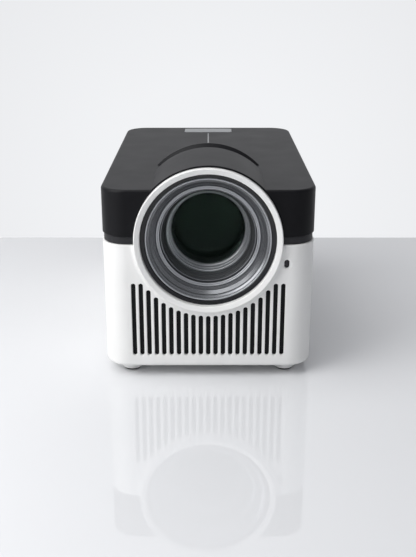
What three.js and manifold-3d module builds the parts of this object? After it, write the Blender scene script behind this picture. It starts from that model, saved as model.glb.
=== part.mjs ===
// Home projector: a compact single-panel LED projector for a table or a shelf.
// A white case with a ring cast round the lens mouth carries a black cover with a half-round
// hump over the lens. Inside are the focusing lens, the sealed light engine, the lamp with its
// heat sink, two fans, the boards and two speakers.
//
// Millimetres. +X is the viewer's right, the lens looks along -Y, +Z is up. The origin is on
// the table, under the middle of the object's box.

import * as THREE from "three";
import { mergeVertices } from "three/addons/utils/BufferGeometryUtils.js";
import Module from "manifold-3d";

const wasm = await Module();
wasm.setup();

// ---------------------------------------------------------------- driving sizes

const WIDTH = 150;
const DEPTH = 248;
const CORNER = 18;
const WALL = 2.4;
const GAP = 0.3;
const ROUND = 36;

const FOOT_HEIGHT = 8;
const CASE_RIM = 100.5;
const COVER_EDGE = 106.4;
const COVER_TOP = 139.5;
const COVER_ROUND = 2;
const CASE_ROUND = 3;

const LENS_Z = 103.2;
const RING_OUTER = 51.9;
const RING_INNER = 47.7;
const RING_PROUD = 4;
const RING_FALL = 1.4;
const RING_BACK = 3;
const HUMP_RADIUS = 53.3;
const HUMP_LENGTH = 82;
const HUMP_SCOOP = { y0: 64, y1: 79, depth: 3.2 };

const SLOT_PITCH = 5.3;
const SLOT_WIDTH = 3.2;
const FRONT_VENTS = { count: 21, radius: 55.7, foot: 16.8, shoulder: 72 };
const SIDE_VENTS = { count: 5, y: 110, z0: 22, z1: 60 };
const UNDER_VENTS = { count: 5, length: 40 };
const REAR_VENTS = { count: 11, half: 30 };

const POSTS = [[-64, 36], [64, 36], [-64, 212], [64, 212]];
const FEET = [[-56.5, 17.5], [56.5, 17.5], [-56.5, 230.5], [56.5, 230.5]];
const POST_TOP = 88.3;
const SEAT_Z = 84;
const SCREW = { shank: 1.4, clear: 1.8, pilot: 1.7, head: 3.1, counterbore: 3.6 };
const FOOT_PEG = 2.5;
const TRIPOD = { y: 56, radius: 5, bore: 3.1, height: 10 };

const KEY = { width: 43.4, depth: 16.9, corner: 2.4, y: 231.5, proud: 0.3 };
const LINE = { width: 1.1, y0: HUMP_LENGTH + 0.6, y1: 216.5 };
const SEAM = { z0: 97, z1: 112, inset: 1, thick: 1.6 };
const SENSOR = { x: 55, z: 86.5, width: 3.6, height: 6.1 };

const FAN = { x: -18, z: 56, size: 80, y0: 229, y1: 244, bore: 38 };
const BLOWER = { y: 108, size: 66, z0: 13, z1: 35, reach: 29 };
const THROAT = { halfWidth: 11, y0: 87, y1: 99 };
const ENGINE = { y0: 82.3, y1: 150, halfWidth: 56, halfHeight: 31 };
const SPEAKER = { x: 34, z: 38, radius: 18 };
const PANEL = { x: 43, z: 55, width: 24, height: 80 };

const FRONT = RING_PROUD - (DEPTH + RING_PROUD) / 2;
const CASE_FLOOR = FOOT_HEIGHT + 2.6;
const LID_UNDER = COVER_TOP - WALL;
const INNER_X = WIDTH / 2 - WALL;
const INNER_REAR = DEPTH - WALL;

// ---------------------------------------------------------------- materials

function plastic(color, roughness = 0.5) {
  return new THREE.MeshStandardMaterial({ color, roughness, metalness: 0 });
}

function metal(color, roughness = 0.35) {
  return new THREE.MeshStandardMaterial({ color, roughness, metalness: 1 });
}

function clear(color) {
  return new THREE.MeshStandardMaterial({ color, roughness: 0.02, transparent: true, opacity: 0.35 });
}

const WHITE = plastic(0xe9e9e6, 0.42);
const BLACK = plastic(0x3a3b3e, 0.55);
const GLOSS_BLACK = plastic(0x0b0b0d, 0.15);
const HOOD_GREY = plastic(0x55575b, 0.35);
const KEY_GREY = plastic(0xa8acae, 0.4);
const RUBBER = plastic(0x1c1c1e, 0.9);
const DARK = plastic(0x222225, 0.6);
const ACETAL = plastic(0xd9d6cc, 0.4);
const BOARD_GREEN = plastic(0x1e4d3a, 0.5);
const BLACK_STEEL = plastic(0x1a1b1c, 0.7);
const GLASS = clear(0xbfd4d0);
const STEEL = metal(0xb6b8ba);
const ALUMINIUM = metal(0xc4c6c8);
const BRASS = metal(0xb8954f);

// ---------------------------------------------------------------- solids

// A closed three.js geometry as a manifold solid.
function solid(geometry) {
  const bare = geometry.index ? geometry.toNonIndexed() : geometry.clone();
  bare.deleteAttribute("normal");
  bare.deleteAttribute("uv");
  const merged = mergeVertices(bare, 1e-4);
  const index = merged.index.array;
  const triangles = [];
  for (let i = 0; i < index.length; i += 3) {
    const [a, b, c] = [index[i], index[i + 1], index[i + 2]];
    if (a !== b && b !== c && c !== a) triangles.push(a, b, c);
  }
  const vertProperties = merged.attributes.position.array;
  const triVerts = new Uint32Array(triangles);
  return new wasm.Manifold(new wasm.Mesh({ numProp: 3, vertProperties, triVerts }));
}

function join(...geometries) {
  return geometries.map(solid).reduce((sum, next) => sum.add(next));
}

function cut(body, ...geometries) {
  return geometries.map(solid).reduce((rest, next) => rest.subtract(next), body);
}

function geometryOf(body) {
  const mesh = body.getMesh();
  const geometry = new THREE.BufferGeometry();
  geometry.setAttribute("position", new THREE.BufferAttribute(mesh.vertProperties, 3));
  geometry.setIndex(new THREE.BufferAttribute(mesh.triVerts, 1));
  geometry.computeVertexNormals();
  return geometry;
}

// A box from its lowest to its highest corner.
function block([x0, y0, z0], [x1, y1, z1]) {
  const geometry = new THREE.BoxGeometry(x1 - x0, y1 - y0, z1 - z0);
  return geometry.translate((x0 + x1) / 2, (y0 + y1) / 2, (z0 + z1) / 2);
}

function roundedRectangle(width, height, radius, cx = 0, cy = 0) {
  const x = width / 2 - radius;
  const y = height / 2 - radius;
  const shape = new THREE.Shape();
  shape.absarc(cx + x, cy + y, radius, 0, Math.PI / 2);
  shape.absarc(cx - x, cy + y, radius, Math.PI / 2, Math.PI);
  shape.absarc(cx - x, cy - y, radius, Math.PI, 1.5 * Math.PI);
  shape.absarc(cx + x, cy - y, radius, 1.5 * Math.PI, 2 * Math.PI);
  shape.closePath();
  return shape;
}

// A plan outline raised from z0 to z1.
function upright(shape, z0, z1, steps = 5) {
  const options = { depth: z1 - z0, bevelEnabled: false, curveSegments: steps };
  return new THREE.ExtrudeGeometry(shape, options).translate(0, 0, z0);
}

// An outline drawn in X and Z, running back from y0 to y1.
function facing(shape, y0, y1, steps = 2) {
  return upright(shape, 0, y1 - y0, steps).rotateX(Math.PI / 2).translate(0, y1, 0);
}

// An outline drawn in Y and Z, running from x0 to x1.
function sideways(shape, x0, x1, steps = 4) {
  return upright(shape, 0, x1 - x0, steps)
    .rotateX(Math.PI / 2)
    .rotateZ(Math.PI / 2)
    .translate(x0, 0, 0);
}

// A plate with rounded corners and both its faces rounded over.
function pillow(width, depth, corner, round, z0, z1) {
  const options = {
    depth: z1 - z0 - 2 * round,
    bevelThickness: round,
    bevelSize: round,
    bevelOffset: -round,
    bevelSegments: 2,
    curveSegments: 5,
  };
  const outline = roundedRectangle(width, depth, corner);
  return new THREE.ExtrudeGeometry(outline, options).translate(0, 0, z0 + round);
}

// A turned piece about the Y axis from its half section, given as [radius, y] points.
// A section that leaves the axis and comes back to it is a solid; any other one is a ring.
function turned(section, segments = 48) {
  const onAxis = section[0][0] === 0;
  const closed = onAxis ? section : [...section, section[0]];
  let area = 0;
  section.forEach(([r, y], i) => {
    const [nextR, nextY] = section[(i + 1) % section.length];
    area += r * nextY - nextR * y;
  });
  const points = closed.map(([r, y]) => new THREE.Vector2(r, y));
  if (area < 0) points.reverse();
  return new THREE.LatheGeometry(points, segments);
}

function tube(inner, outer, y0, y1, segments = 48) {
  return turned([[inner, y0], [outer, y0], [outer, y1], [inner, y1]], segments);
}

function rod(radius, y0, y1, segments = 24) {
  return turned([[0, y0], [radius, y0], [radius, y1], [0, y1]], segments);
}

// The same turned pieces stood up along Z.
function standing(geometry) {
  return geometry.rotateX(Math.PI / 2);
}

// ---------------------------------------------------------------- scene graph

const projector = new THREE.Group();
const frontFrame = new THREE.Group();
const lensAxis = new THREE.Group();
frontFrame.position.set(0, FRONT, 0);
lensAxis.position.set(0, 0, LENS_Z);
projector.add(frontFrame);
frontFrame.add(lensAxis);

// Everything below is drawn from the front face of the case: y is the depth behind it.
function place(name, shape, material, parent = frontFrame, position = [0, 0, 0]) {
  const geometry = shape.isBufferGeometry ? geometryOf(solid(shape)) : geometryOf(shape);
  const mesh = new THREE.Mesh(geometry, material);
  mesh.name = name;
  mesh.position.set(...position);
  parent.add(mesh);
}

// ---------------------------------------------------------------- case

// An upright slot with round ends.
function slot(x, z0, z1) {
  return roundedRectangle(SLOT_WIDTH, z1 - z0, SLOT_WIDTH / 2 - 0.01, x, (z0 + z1) / 2);
}

// The heads of the front vents follow the ring, up to a level shoulder.
function ventTop(x) {
  const arc = LENS_Z - Math.sqrt(Math.max(0, FRONT_VENTS.radius ** 2 - x ** 2));
  return Math.min(FRONT_VENTS.shoulder, arc);
}

function row(count, makeVent) {
  return Array.from({ length: count }, (_, i) => makeVent((i - (count - 1) / 2) * SLOT_PITCH));
}

function sideVents(x0, x1) {
  const { count, y, z0, z1 } = SIDE_VENTS;
  return row(count, (step) => sideways(slot(y + step, z0, z1), x0, x1, 1));
}

function vents() {
  const front = row(FRONT_VENTS.count, (x) => {
    return facing(slot(x, FRONT_VENTS.foot, ventTop(x)), -1, WALL + 1, 1);
  });
  const rear = row(REAR_VENTS.count, (x) => {
    const outline = slot(FAN.x + x, FAN.z - REAR_VENTS.half, FAN.z + REAR_VENTS.half);
    return facing(outline, INNER_REAR - 1, DEPTH + 1, 1);
  });
  const under = row(UNDER_VENTS.count, (x) => {
    const outline = roundedRectangle(SLOT_WIDTH, UNDER_VENTS.length, SLOT_WIDTH / 2 - 0.01, x, BLOWER.y);
    return upright(outline, FOOT_HEIGHT - 1, CASE_FLOOR + 1, 1);
  });
  const right = sideVents(INNER_X - 1, WIDTH / 2 + 1);
  const left = sideVents(-WIDTH / 2 - 1, 1 - INNER_X);
  return [...front, ...rear, ...right, ...left, ...under];
}

// The ring's face falls a little towards the lens.
function lensRing() {
  const lip = 0.8;
  const face = -RING_PROUD;
  return turned([
    [RING_INNER, face + RING_FALL + lip],
    [RING_INNER + lip, face + RING_FALL],
    [RING_OUTER - lip, face],
    [RING_OUTER, face + lip],
    [RING_OUTER, RING_BACK],
    [RING_INNER, RING_BACK],
  ], ROUND);
}

// The hollow sweep that blends the lower half of the ring into the front wall.
function ringSweep() {
  const reach = 3.2;
  const section = [[RING_INNER + 1, 1], [RING_INNER + 1, -RING_FALL], [RING_OUTER - 0.5, -reach]];
  for (let i = 0; i <= 2; i++) {
    const a = (i / 2) * (Math.PI / 2);
    section.push([RING_OUTER + reach * (1 - Math.cos(a)), -reach * (1 - Math.sin(a))]);
  }
  section.push([RING_OUTER + reach, 1]);
  const sweep = turned(section, ROUND).translate(0, 0, LENS_Z);
  return cut(solid(sweep), block([-80, -10, CASE_RIM], [80, 10, 200]));
}

function caseOutline(inset) {
  const width = WIDTH - 2 * inset;
  const depth = DEPTH - 2 * inset;
  return roundedRectangle(width, depth, CORNER - inset, 0, DEPTH / 2);
}

function screwPost(x, y) {
  const side = Math.sign(x);
  const wall = side * (INNER_X + 1);
  const rib = block([Math.min(wall, x + side * 3), y - 1, CASE_FLOOR - 1],
    [Math.max(wall, x + side * 3), y + 1, POST_TOP]);
  return [standing(rod(5, FOOT_HEIGHT + 1, POST_TOP, 12)).translate(x, y, 0), rib];
}

// A shallow dish round the sensor window, with the hole for the window in its middle.
function sensorEye() {
  const ball = { radius: 12, y: -11.3 };
  const dish = new THREE.SphereGeometry(ball.radius, 20, 24).translate(SENSOR.x, ball.y, SENSOR.z);
  const round = SENSOR.width / 2 - 0.01;
  const eye = roundedRectangle(SENSOR.width, SENSOR.height, round, SENSOR.x, SENSOR.z);
  return [dish, facing(eye, -2, WALL + 1)];
}

function lowerCase() {
  const outside = pillow(WIDTH, DEPTH, CORNER, CASE_ROUND, FOOT_HEIGHT, CASE_RIM + 20);
  outside.translate(0, DEPTH / 2, 0);
  let body = cut(solid(outside),
    block([-80, -5, CASE_RIM], [80, DEPTH + 5, CASE_RIM + 30]),
    upright(caseOutline(WALL), CASE_FLOOR, CASE_RIM + 5));
  const bossTop = FOOT_HEIGHT + TRIPOD.height;
  const boss = standing(rod(TRIPOD.radius + 3, FOOT_HEIGHT + 1, bossTop, 16)).translate(0, TRIPOD.y, 0);
  body = body.add(join(boss, ...POSTS.flatMap(([x, y]) => screwPost(x, y))));
  body = body.add(solid(lensRing().translate(0, 0, LENS_Z))).add(ringSweep());
  const mouth = rod(RING_INNER, -1, RING_BACK + 0.5, ROUND).translate(0, 0, LENS_Z);
  const hole = { width: PANEL.width + 2 * GAP, height: PANEL.height + 2 * GAP };
  const panelHole = roundedRectangle(hole.width, hole.height, 2, PANEL.x, PANEL.z);
  const insertHole = standing(rod(TRIPOD.radius + GAP, 0, bossTop + 1, 16)).translate(0, TRIPOD.y, 0);
  body = cut(body, mouth, insertHole, ...sensorEye(), facing(panelHole, INNER_REAR - 1, DEPTH + 1));
  for (const [x, y] of POSTS) {
    body = cut(body,
      standing(rod(SCREW.counterbore, 0, SEAT_Z, 12)).translate(x, y, 0),
      standing(rod(SCREW.clear, 0, POST_TOP + 1, 8)).translate(x, y, 0));
  }
  for (const [x, y] of FEET) {
    body = cut(body, standing(rod(FOOT_PEG + GAP, 0, CASE_FLOOR + 1, 8)).translate(x, y, 0));
  }
  return cut(body, ...vents());
}

// The dark band in the groove between the case and the cover. It hangs inside both, and its
// middle steps out over the case's rim.
function seamBand() {
  const liner = upright(caseOutline(WALL + GAP), SEAM.z0, SEAM.z1);
  const step = upright(caseOutline(SEAM.inset), CASE_RIM + GAP, COVER_EDGE - GAP);
  return cut(join(liner, step),
    upright(caseOutline(WALL + GAP + SEAM.thick), SEAM.z0 - 5, SEAM.z1 + 5),
    rod(RING_OUTER + GAP, -5, 60, ROUND).translate(0, 0, LENS_Z));
}

// ---------------------------------------------------------------- cover

const MOUTH = RING_OUTER + GAP;

function hump() {
  const { y0, y1, depth } = HUMP_SCOOP;
  return turned([
    [0, 0], [HUMP_RADIUS - 0.4, 0], [HUMP_RADIUS, 0.4], [HUMP_RADIUS, y0],
    [HUMP_RADIUS - depth, y1], [HUMP_RADIUS, y1],
    [HUMP_RADIUS, HUMP_LENGTH], [0, HUMP_LENGTH],
  ], ROUND).translate(0, 0, LENS_Z);
}

function humpHollow() {
  const { y0, depth } = HUMP_SCOOP;
  const inside = HUMP_RADIUS - WALL;
  return turned([
    [0, -1], [MOUTH, -1], [MOUTH, RING_BACK], [inside, RING_BACK],
    [inside, y0 - 3], [inside - depth, HUMP_LENGTH - WALL], [0, HUMP_LENGTH - WALL],
  ], ROUND).translate(0, 0, LENS_Z);
}

function topCover() {
  const outside = pillow(WIDTH, DEPTH, CORNER, COVER_ROUND, COVER_EDGE - 20, COVER_TOP);
  outside.translate(0, DEPTH / 2, 0);
  const below = block([-80, -10, 0], [80, DEPTH + 10, COVER_EDGE]);
  const keyHole = roundedRectangle(KEY.width + 2 * GAP, KEY.depth + 2 * GAP, KEY.corner + GAP, 0, KEY.y);
  const lineLength = LINE.y1 - LINE.y0 + 2 * GAP;
  const lineHole = roundedRectangle(LINE.width + 2 * GAP, lineLength, LINE.width / 2, 0,
    (LINE.y0 + LINE.y1) / 2);
  let body = cut(solid(outside).add(solid(hump())), below,
    upright(caseOutline(WALL), 50, LID_UNDER),
    humpHollow(),
    upright(keyHole, LID_UNDER - 5, COVER_TOP + 5, 5),
    upright(lineHole, LID_UNDER - 5, COVER_TOP + 5, 3));
  for (const [x, y] of POSTS) {
    const post = standing(rod(4.4, POST_TOP + GAP, LID_UNDER + 1, 16)).translate(x, y, 0);
    const pilot = standing(rod(SCREW.pilot, 0, 104, 12)).translate(x, y, 0);
    body = cut(body.add(solid(post)), pilot);
  }
  return body;
}

// A cap that stands just proud of the cover, on a skirt that stops it falling out and a stem
// that reaches down to the switch.
function powerKey() {
  const outline = roundedRectangle(KEY.width, KEY.depth, KEY.corner, 0, KEY.y);
  const cap = upright(outline, LID_UNDER - 1, COVER_TOP + KEY.proud);
  const skirt = roundedRectangle(KEY.width + 3, KEY.depth + 3, KEY.corner + 1.5, 0, KEY.y);
  const stem = standing(rod(2.5, 131.5, LID_UNDER - 1)).translate(0, KEY.y, 0);
  return join(cap, upright(skirt, LID_UNDER - 2, LID_UNDER - GAP), stem);
}

function lightLine() {
  const middle = (LINE.y0 + LINE.y1) / 2;
  const length = LINE.y1 - LINE.y0;
  const outline = roundedRectangle(LINE.width, length, LINE.width / 2 - 0.05, 0, middle);
  const flange = block([-2, LINE.y0 + 2, 135.3], [2, LINE.y1, LID_UNDER - GAP]);
  return join(upright(outline, 136, COVER_TOP, 3), flange);
}

function keyBoard() {
  const plate = block([-24, KEY.y - 8, 126], [24, KEY.y + 8, 127.4]);
  return join(plate, block([-3, KEY.y - 3, 127], [3, KEY.y + 3, 130.4]),
    block([-20, KEY.y - 4, 127], [-14, KEY.y + 2, 129]));
}

// ---------------------------------------------------------------- feet and screws

function foot() {
  return standing(turned([
    [0, 1.5], [7, 1.5], [7.6, 2.1], [7.6, 7.2], [7.1, FOOT_HEIGHT - GAP],
    [FOOT_PEG, FOOT_HEIGHT - GAP], [FOOT_PEG, CASE_FLOOR + 1.4], [0, CASE_FLOOR + 1.4],
  ], 16));
}

function footPad() {
  return standing(turned([[0, 0], [5.6, 0], [6, 0.4], [6, 1.2], [0, 1.2]], 16));
}

function coverScrew() {
  return standing(turned([
    [0, SEAT_Z - 2.6], [SCREW.head - 0.3, SEAT_Z - 2.6], [SCREW.head, SEAT_Z - 2.2],
    [SCREW.head, SEAT_Z - GAP], [SCREW.shank, SEAT_Z - GAP], [SCREW.shank, 100], [0, 101],
  ], 10));
}

function tripodInsert() {
  const top = FOOT_HEIGHT + TRIPOD.height;
  return standing(turned([
    [TRIPOD.bore, FOOT_HEIGHT], [TRIPOD.radius, FOOT_HEIGHT], [TRIPOD.radius, top],
    [0, top], [0, top - 1], [TRIPOD.bore, top - 1],
  ], 16));
}

// ---------------------------------------------------------------- front trim

const BARREL_NOSE = 13.4;

function lensTrimRing() {
  return turned([
    [44.6, 1.4], [RING_INNER - GAP, 0.9], [RING_INNER - GAP, RING_BACK + GAP],
    [50.5, RING_BACK + GAP], [50.5, RING_BACK + 2.3], [44.6, RING_BACK + 2.3],
  ], ROUND);
}

// The fixed, stepped cone round the lens, with a sleeve behind its raised inner lip.
function lensHood() {
  return turned([
    [44.3, 1.5], [43.4, 1.5], [43.2, 2.8], [40.9, 5.6], [38.2, 9.2],
    [36, 11.6], [34.6, 11.6], [34.6, 26], [36.2, 26], [36.2, 14], [44.3, 5.2],
  ], ROUND);
}

function sensorWindow() {
  const { x, z, width, height } = SENSOR;
  const lens = roundedRectangle(width - 0.4, height - 0.4, 1.55, x, z);
  const plate = block([x - 4, WALL + GAP, z - 5], [x + 4, WALL + 1.5, z + 5]);
  return join(facing(lens, 0.9, WALL + 1), plate);
}

// A thin black sheet, punched with fine holes, behind the front vents.
function ventScreen() {
  const sheet = block([-57, WALL + GAP, 13.5], [57, WALL + 0.9, 74.5]);
  return cut(solid(sheet), rod(RING_OUTER + GAP, -5, 20, ROUND).translate(0, 0, LENS_Z));
}

// ---------------------------------------------------------------- lens and focus drive

const BARREL = { radius: 28.9, bore: 26.6, back: 78 };
const SLEEVE = { inner: 29.1, outer: 32, y0: 42, y1: 80 };
const MODULE = 0.8;
const PINION_TEETH = 12;
const PITCH_RADIUS = MODULE * PINION_TEETH / 2;
const RACK = { x: 35, y: 58, teeth: 9, height: 8 };
const PINION_X = RACK.x + PITCH_RADIUS;

function lensBarrel() {
  const nose = BARREL_NOSE;
  return turned([
    [34.2, nose], [33.4, nose], [31.7, nose + 4.4], [30.2, nose + 8.8],
    [28.7, nose + 13.4], [BARREL.bore, nose + 18.6], [BARREL.bore, BARREL.back],
    [BARREL.radius, BARREL.back], [BARREL.radius, nose + 21], [34.2, nose + 4],
  ], ROUND);
}

// A lens from the sags of its front and back faces; a negative sag is hollow.
function lensElement(radius, y0, y1, frontSag, backSag) {
  const steps = 3;
  const section = [];
  for (let i = 0; i <= steps; i++) {
    const r = radius * i / steps;
    section.push([r, y0 + frontSag * (i / steps) ** 2]);
  }
  for (let i = steps; i >= 0; i--) {
    const r = radius * i / steps;
    section.push([r, y1 - backSag * (i / steps) ** 2]);
  }
  return turned(section, 24);
}

function lensSpacer(y0, y1) {
  return tube(22.5, BARREL.bore - GAP, y0, y1, 20);
}

// The fixed tube that the barrel slides in, with a side slot for the rack and a motor shelf.
function lensSleeve() {
  const { inner, outer, y0, y1 } = SLEEVE;
  const flange = facing(roundedRectangle(76, 60, 4), y1 - 3, y1);
  const shelf = block([30, 44, -10.5], [47, 72, -8.5]);
  const post = block([30, 60, -10.5], [33, y1 - 1, -5.5]);
  let body = join(tube(inner - 2, outer, y0, y1, ROUND), flange, shelf, post);
  body = cut(body, rod(inner, y0 - 5, y1 + 5, ROUND),
    block([20, 38, -5], [34.1, 76, 5]),
    standing(rod(2.3, -20, 0, 16)).translate(PINION_X, RACK.y, 0));
  return body;
}

// Straight-sided teeth standing out along +X, backed by a bar that screws to the barrel.
function focusRack() {
  const pitch = Math.PI * MODULE;
  const length = RACK.teeth * pitch;
  const root = RACK.x - 1.2 * MODULE;
  const tip = RACK.x + 0.9 * MODULE;
  const lean = Math.tan(Math.PI / 9);
  const half = pitch / 4 - 0.1;
  const outline = new THREE.Shape();
  outline.moveTo(BARREL.radius + GAP, -length / 2);
  outline.lineTo(root, -length / 2);
  for (let i = 0; i < RACK.teeth; i++) {
    const middle = (i + 0.5) * pitch - length / 2;
    outline.lineTo(root, middle - half - lean * 1.2 * MODULE);
    outline.lineTo(tip, middle - half + lean * 0.9 * MODULE);
    outline.lineTo(tip, middle + half - lean * 0.9 * MODULE);
    outline.lineTo(root, middle + half + lean * 1.2 * MODULE);
  }
  outline.lineTo(root, length / 2);
  outline.lineTo(BARREL.radius + GAP, length / 2);
  outline.closePath();
  return upright(outline, -RACK.height / 2, RACK.height / 2).translate(0, RACK.y, 0);
}

// One flank point of an involute tooth: its angle from the tooth's middle at a radius.
function flankAngle(r) {
  const base = PITCH_RADIUS * Math.cos(Math.PI / 9);
  const involute = (radius) => {
    const a = Math.acos(Math.min(1, base / Math.max(radius, base)));
    return Math.tan(a) - a;
  };
  const halfTooth = Math.PI / (2 * PINION_TEETH) - 0.12 / PITCH_RADIUS;
  return halfTooth + involute(PITCH_RADIUS) - involute(r);
}

function focusPinion() {
  const root = PITCH_RADIUS - 1.1 * MODULE;
  const tip = PITCH_RADIUS + 0.9 * MODULE;
  const radii = [root, PITCH_RADIUS - 0.2, tip];
  const corners = [];
  for (let i = 0; i < PINION_TEETH; i++) {
    const middle = Math.PI + (i + 0.5) * 2 * Math.PI / PINION_TEETH;
    const points = [
      ...radii.map((r) => [r, middle - flankAngle(r)]),
      ...radii.toReversed().map((r) => [r, middle + flankAngle(r)]),
    ];
    corners.push(...points.map(([r, a]) => new THREE.Vector2(r * Math.cos(a), r * Math.sin(a))));
  }
  return join(upright(new THREE.Shape(corners), -4.5, 4.5), standing(rod(1.5, -20, 6, 16)));
}

function focusMotor() {
  const gearbox = block([-6, -5, -20], [6, 5, -10.8]);
  const can = standing(rod(6, -38, -19.5, 24));
  const body = join(gearbox, can);
  return cut(body, standing(rod(1.8, -21, 0, 16)));
}

// ---------------------------------------------------------------- light engine

function lightHousing() {
  const { y0, y1, halfWidth, halfHeight } = ENGINE;
  const outside = facing(roundedRectangle(2 * halfWidth, 2 * halfHeight, 3), y0, y1);
  const wall = 2;
  const inside = block([wall - halfWidth, y0 + wall, wall - halfHeight],
    [halfWidth - wall, y1 - wall, halfHeight - wall]);
  const airway = block([-THROAT.halfWidth, THROAT.y0, -halfHeight - 1],
    [THROAT.halfWidth, THROAT.y1, 4 - halfHeight]);
  return cut(solid(outside), inside,
    facing(roundedRectangle(70, 44, 4), y0 - 1, y0 + 3),
    rod(14, y1 - 3, y1 + 1, 20),
    airway,
    airway.clone().translate(0, 0, 2 * halfHeight - 3));
}

function panel(halfWidth, halfHeight, y0, y1) {
  return block([-halfWidth, y0, -halfHeight], [halfWidth, y1, halfHeight]);
}

function heatSink() {
  const base = block([-36, 152.3, -38], [36, 157, 30]);
  const fins = row(13, (x) => block([x - 0.8, 156, -38], [x + 0.8, 192, 30]));
  return join(base, ...fins);
}

// ---------------------------------------------------------------- fans

const FAN_MIDDLE = [FAN.x, (FAN.y0 + FAN.y1) / 2, FAN.z];

function fanFrame() {
  const half = (FAN.y1 - FAN.y0) / 2;
  const plate = facing(roundedRectangle(FAN.size, FAN.size, 4), -half, half, 3);
  const opened = cut(solid(plate), rod(FAN.bore, -half - 1, half + 1, 36));
  const spokes = [0, 1, 2, 3].map((i) => {
    const spoke = block([-FAN.bore - 0.5, half - 2, -1.5], [0, half, 1.5]);
    return spoke.rotateY(Math.PI / 4 + i * Math.PI / 2);
  });
  const seat = rod(14, half - 2, half, 20);
  const pin = rod(1.5, -half + 4, half - 1, 16);
  return opened.add(join(seat, pin, ...spokes));
}

// A blade set round a cup, with the blades raked like a fan's.
function fanRotor() {
  const half = (FAN.y1 - FAN.y0) / 2;
  const y1 = half - 2.6;
  const cup = turned([
    [1.55, 1 - half], [14, 1 - half], [15, 2 - half], [15, y1], [13.6, y1],
    [13.6, 3 - half], [3.2, 3 - half], [3.2, y1 - 1], [1.55, y1 - 1],
  ], 16);
  const blades = Array.from({ length: 7 }, (_, i) => {
    const blade = new THREE.BoxGeometry(22.8, 1.2, 15);
    blade.rotateX(0.6).translate(25.4, -0.8, 0);
    return blade.rotateY(i * 2 * Math.PI / 7);
  });
  return join(cup, ...blades);
}

function blowerHousing() {
  const { size, z0, z1, reach } = BLOWER;
  const outside = upright(roundedRectangle(size, size, 5), z0, z1);
  const throat = block([-THROAT.halfWidth, THROAT.y0 - BLOWER.y, z1 - 6],
    [THROAT.halfWidth, THROAT.y1 - BLOWER.y, z1 + 1]);
  const cavity = standing(rod(reach, z0 + 2, z1 - 2, 20));
  const inlet = standing(rod(21, z0 - 1, z0 + 3, 20));
  const pin = standing(rod(1.5, z0 + 5, z1 - 1, 16));
  return cut(solid(outside), cavity, inlet, throat).add(solid(pin));
}

function blowerImpeller() {
  const { z0, z1 } = BLOWER;
  const hub = standing(turned([
    [1.55, z0 + 3], [12, z0 + 3], [12, z1 - 5], [26, z1 - 5], [26, z1 - 3.6], [1.55, z1 - 3.6],
  ], 16));
  const blades = Array.from({ length: 11 }, (_, i) => {
    const blade = new THREE.BoxGeometry(7, 1, z1 - z0 - 8);
    blade.rotateZ(0.7).translate(22.5, 0, (z0 + z1) / 2 - 1);
    return blade.rotateZ(i * 2 * Math.PI / 11);
  });
  return join(hub, ...blades);
}

// A rectangular duct that carries the blower's air up to the light housing.
function airDuct() {
  const { halfWidth, y0, y1 } = THROAT;
  const wall = 2;
  const top = LENS_Z - ENGINE.halfHeight - GAP;
  const outside = block([-halfWidth - wall, y0 - wall, BLOWER.z1 + GAP],
    [halfWidth + wall, y1 + wall, top]);
  const inside = block([-halfWidth, y0, 0], [halfWidth, y1, top + 1]);
  return cut(solid(outside), inside);
}

// ---------------------------------------------------------------- sound, boards and sockets

function speakerFrame() {
  const { radius } = SPEAKER;
  return turned([
    [radius - 3, 3.9], [radius, 3.9], [radius, 6], [radius - 4, 14], [9, 17], [9, 24],
    [0, 24], [0, 20], [7, 20], [7, 16], [radius - 6, 12], [radius - 3, 6],
  ], 16);
}

function speakerCone() {
  const { radius } = SPEAKER;
  return turned([
    [0, 8.6], [5, 9.4], [11, 5], [radius - 4.4, 4.2], [radius - 3.4, 5], [radius - 3.4, 5.8],
    [11, 6.4], [6, 10.6], [5.4, 18], [4.6, 18], [4.4, 10.6], [0, 9.8],
  ], 16);
}

const BOARD_X = 56.3;
const SOCKETS = {
  video: { z: 86, width: 15, height: 6 },
  upperUsb: { z: 73, width: 14.5, height: 7.2 },
  lowerUsb: { z: 61.5, width: 14.5, height: 7.2 },
  audio: { z: 49.5, width: 8, height: 8 },
  mains: { z: 29, width: 21, height: 12 },
};
const PORT_X = 45.5;

function rearPanel() {
  const y1 = DEPTH - 0.4;
  const face = roundedRectangle(PANEL.width, PANEL.height, 1.7, PANEL.x, PANEL.z);
  const flange = block([PANEL.x - 15, INNER_REAR - 1.8, PANEL.z - 41.5],
    [PANEL.x + 14, INNER_REAR - GAP, PANEL.z + 37.5]);
  let body = join(facing(face, INNER_REAR - 1, y1), flange);
  for (const [name, { z, width, height }] of Object.entries(SOCKETS)) {
    const x = name === "mains" ? PANEL.x : PORT_X;
    const hole = roundedRectangle(width + 2 * GAP, height + 2 * GAP, 1, x, z);
    body = cut(body, facing(hole, INNER_REAR - 3, DEPTH + 1));
  }
  return body;
}

// A socket's shell: open to the rear, with the tongue that the plug slides over.
function socketShell({ z, width, height }, depth, tongue) {
  const wall = 0.5;
  const y1 = DEPTH - wall;
  const y0 = y1 - depth;
  const outside = facing(roundedRectangle(width, height, 0.9, PORT_X, z), y0, y1, 3);
  const inner = roundedRectangle(width - 2 * wall, height - 2 * wall, 0.5, PORT_X, z);
  const half = width / 2 - wall - 1.2;
  const blade = block([PORT_X - half, y0 + 0.5, z + tongue], [PORT_X + half, y1 - 1.2, z + tongue + 1.4]);
  return cut(solid(outside), facing(inner, y0 + 1, y1 + 1, 3)).add(solid(blade));
}

function audioJack() {
  const { z, width, height } = SOCKETS.audio;
  const y1 = DEPTH - 0.5;
  const shell = block([PORT_X - width / 2, y1 - 12, z - height / 2],
    [PORT_X + width / 2, y1, z + height / 2]);
  return cut(solid(shell), rod(1.8, y1 - 10, y1 + 1, 16).translate(PORT_X, 0, z));
}

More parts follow.
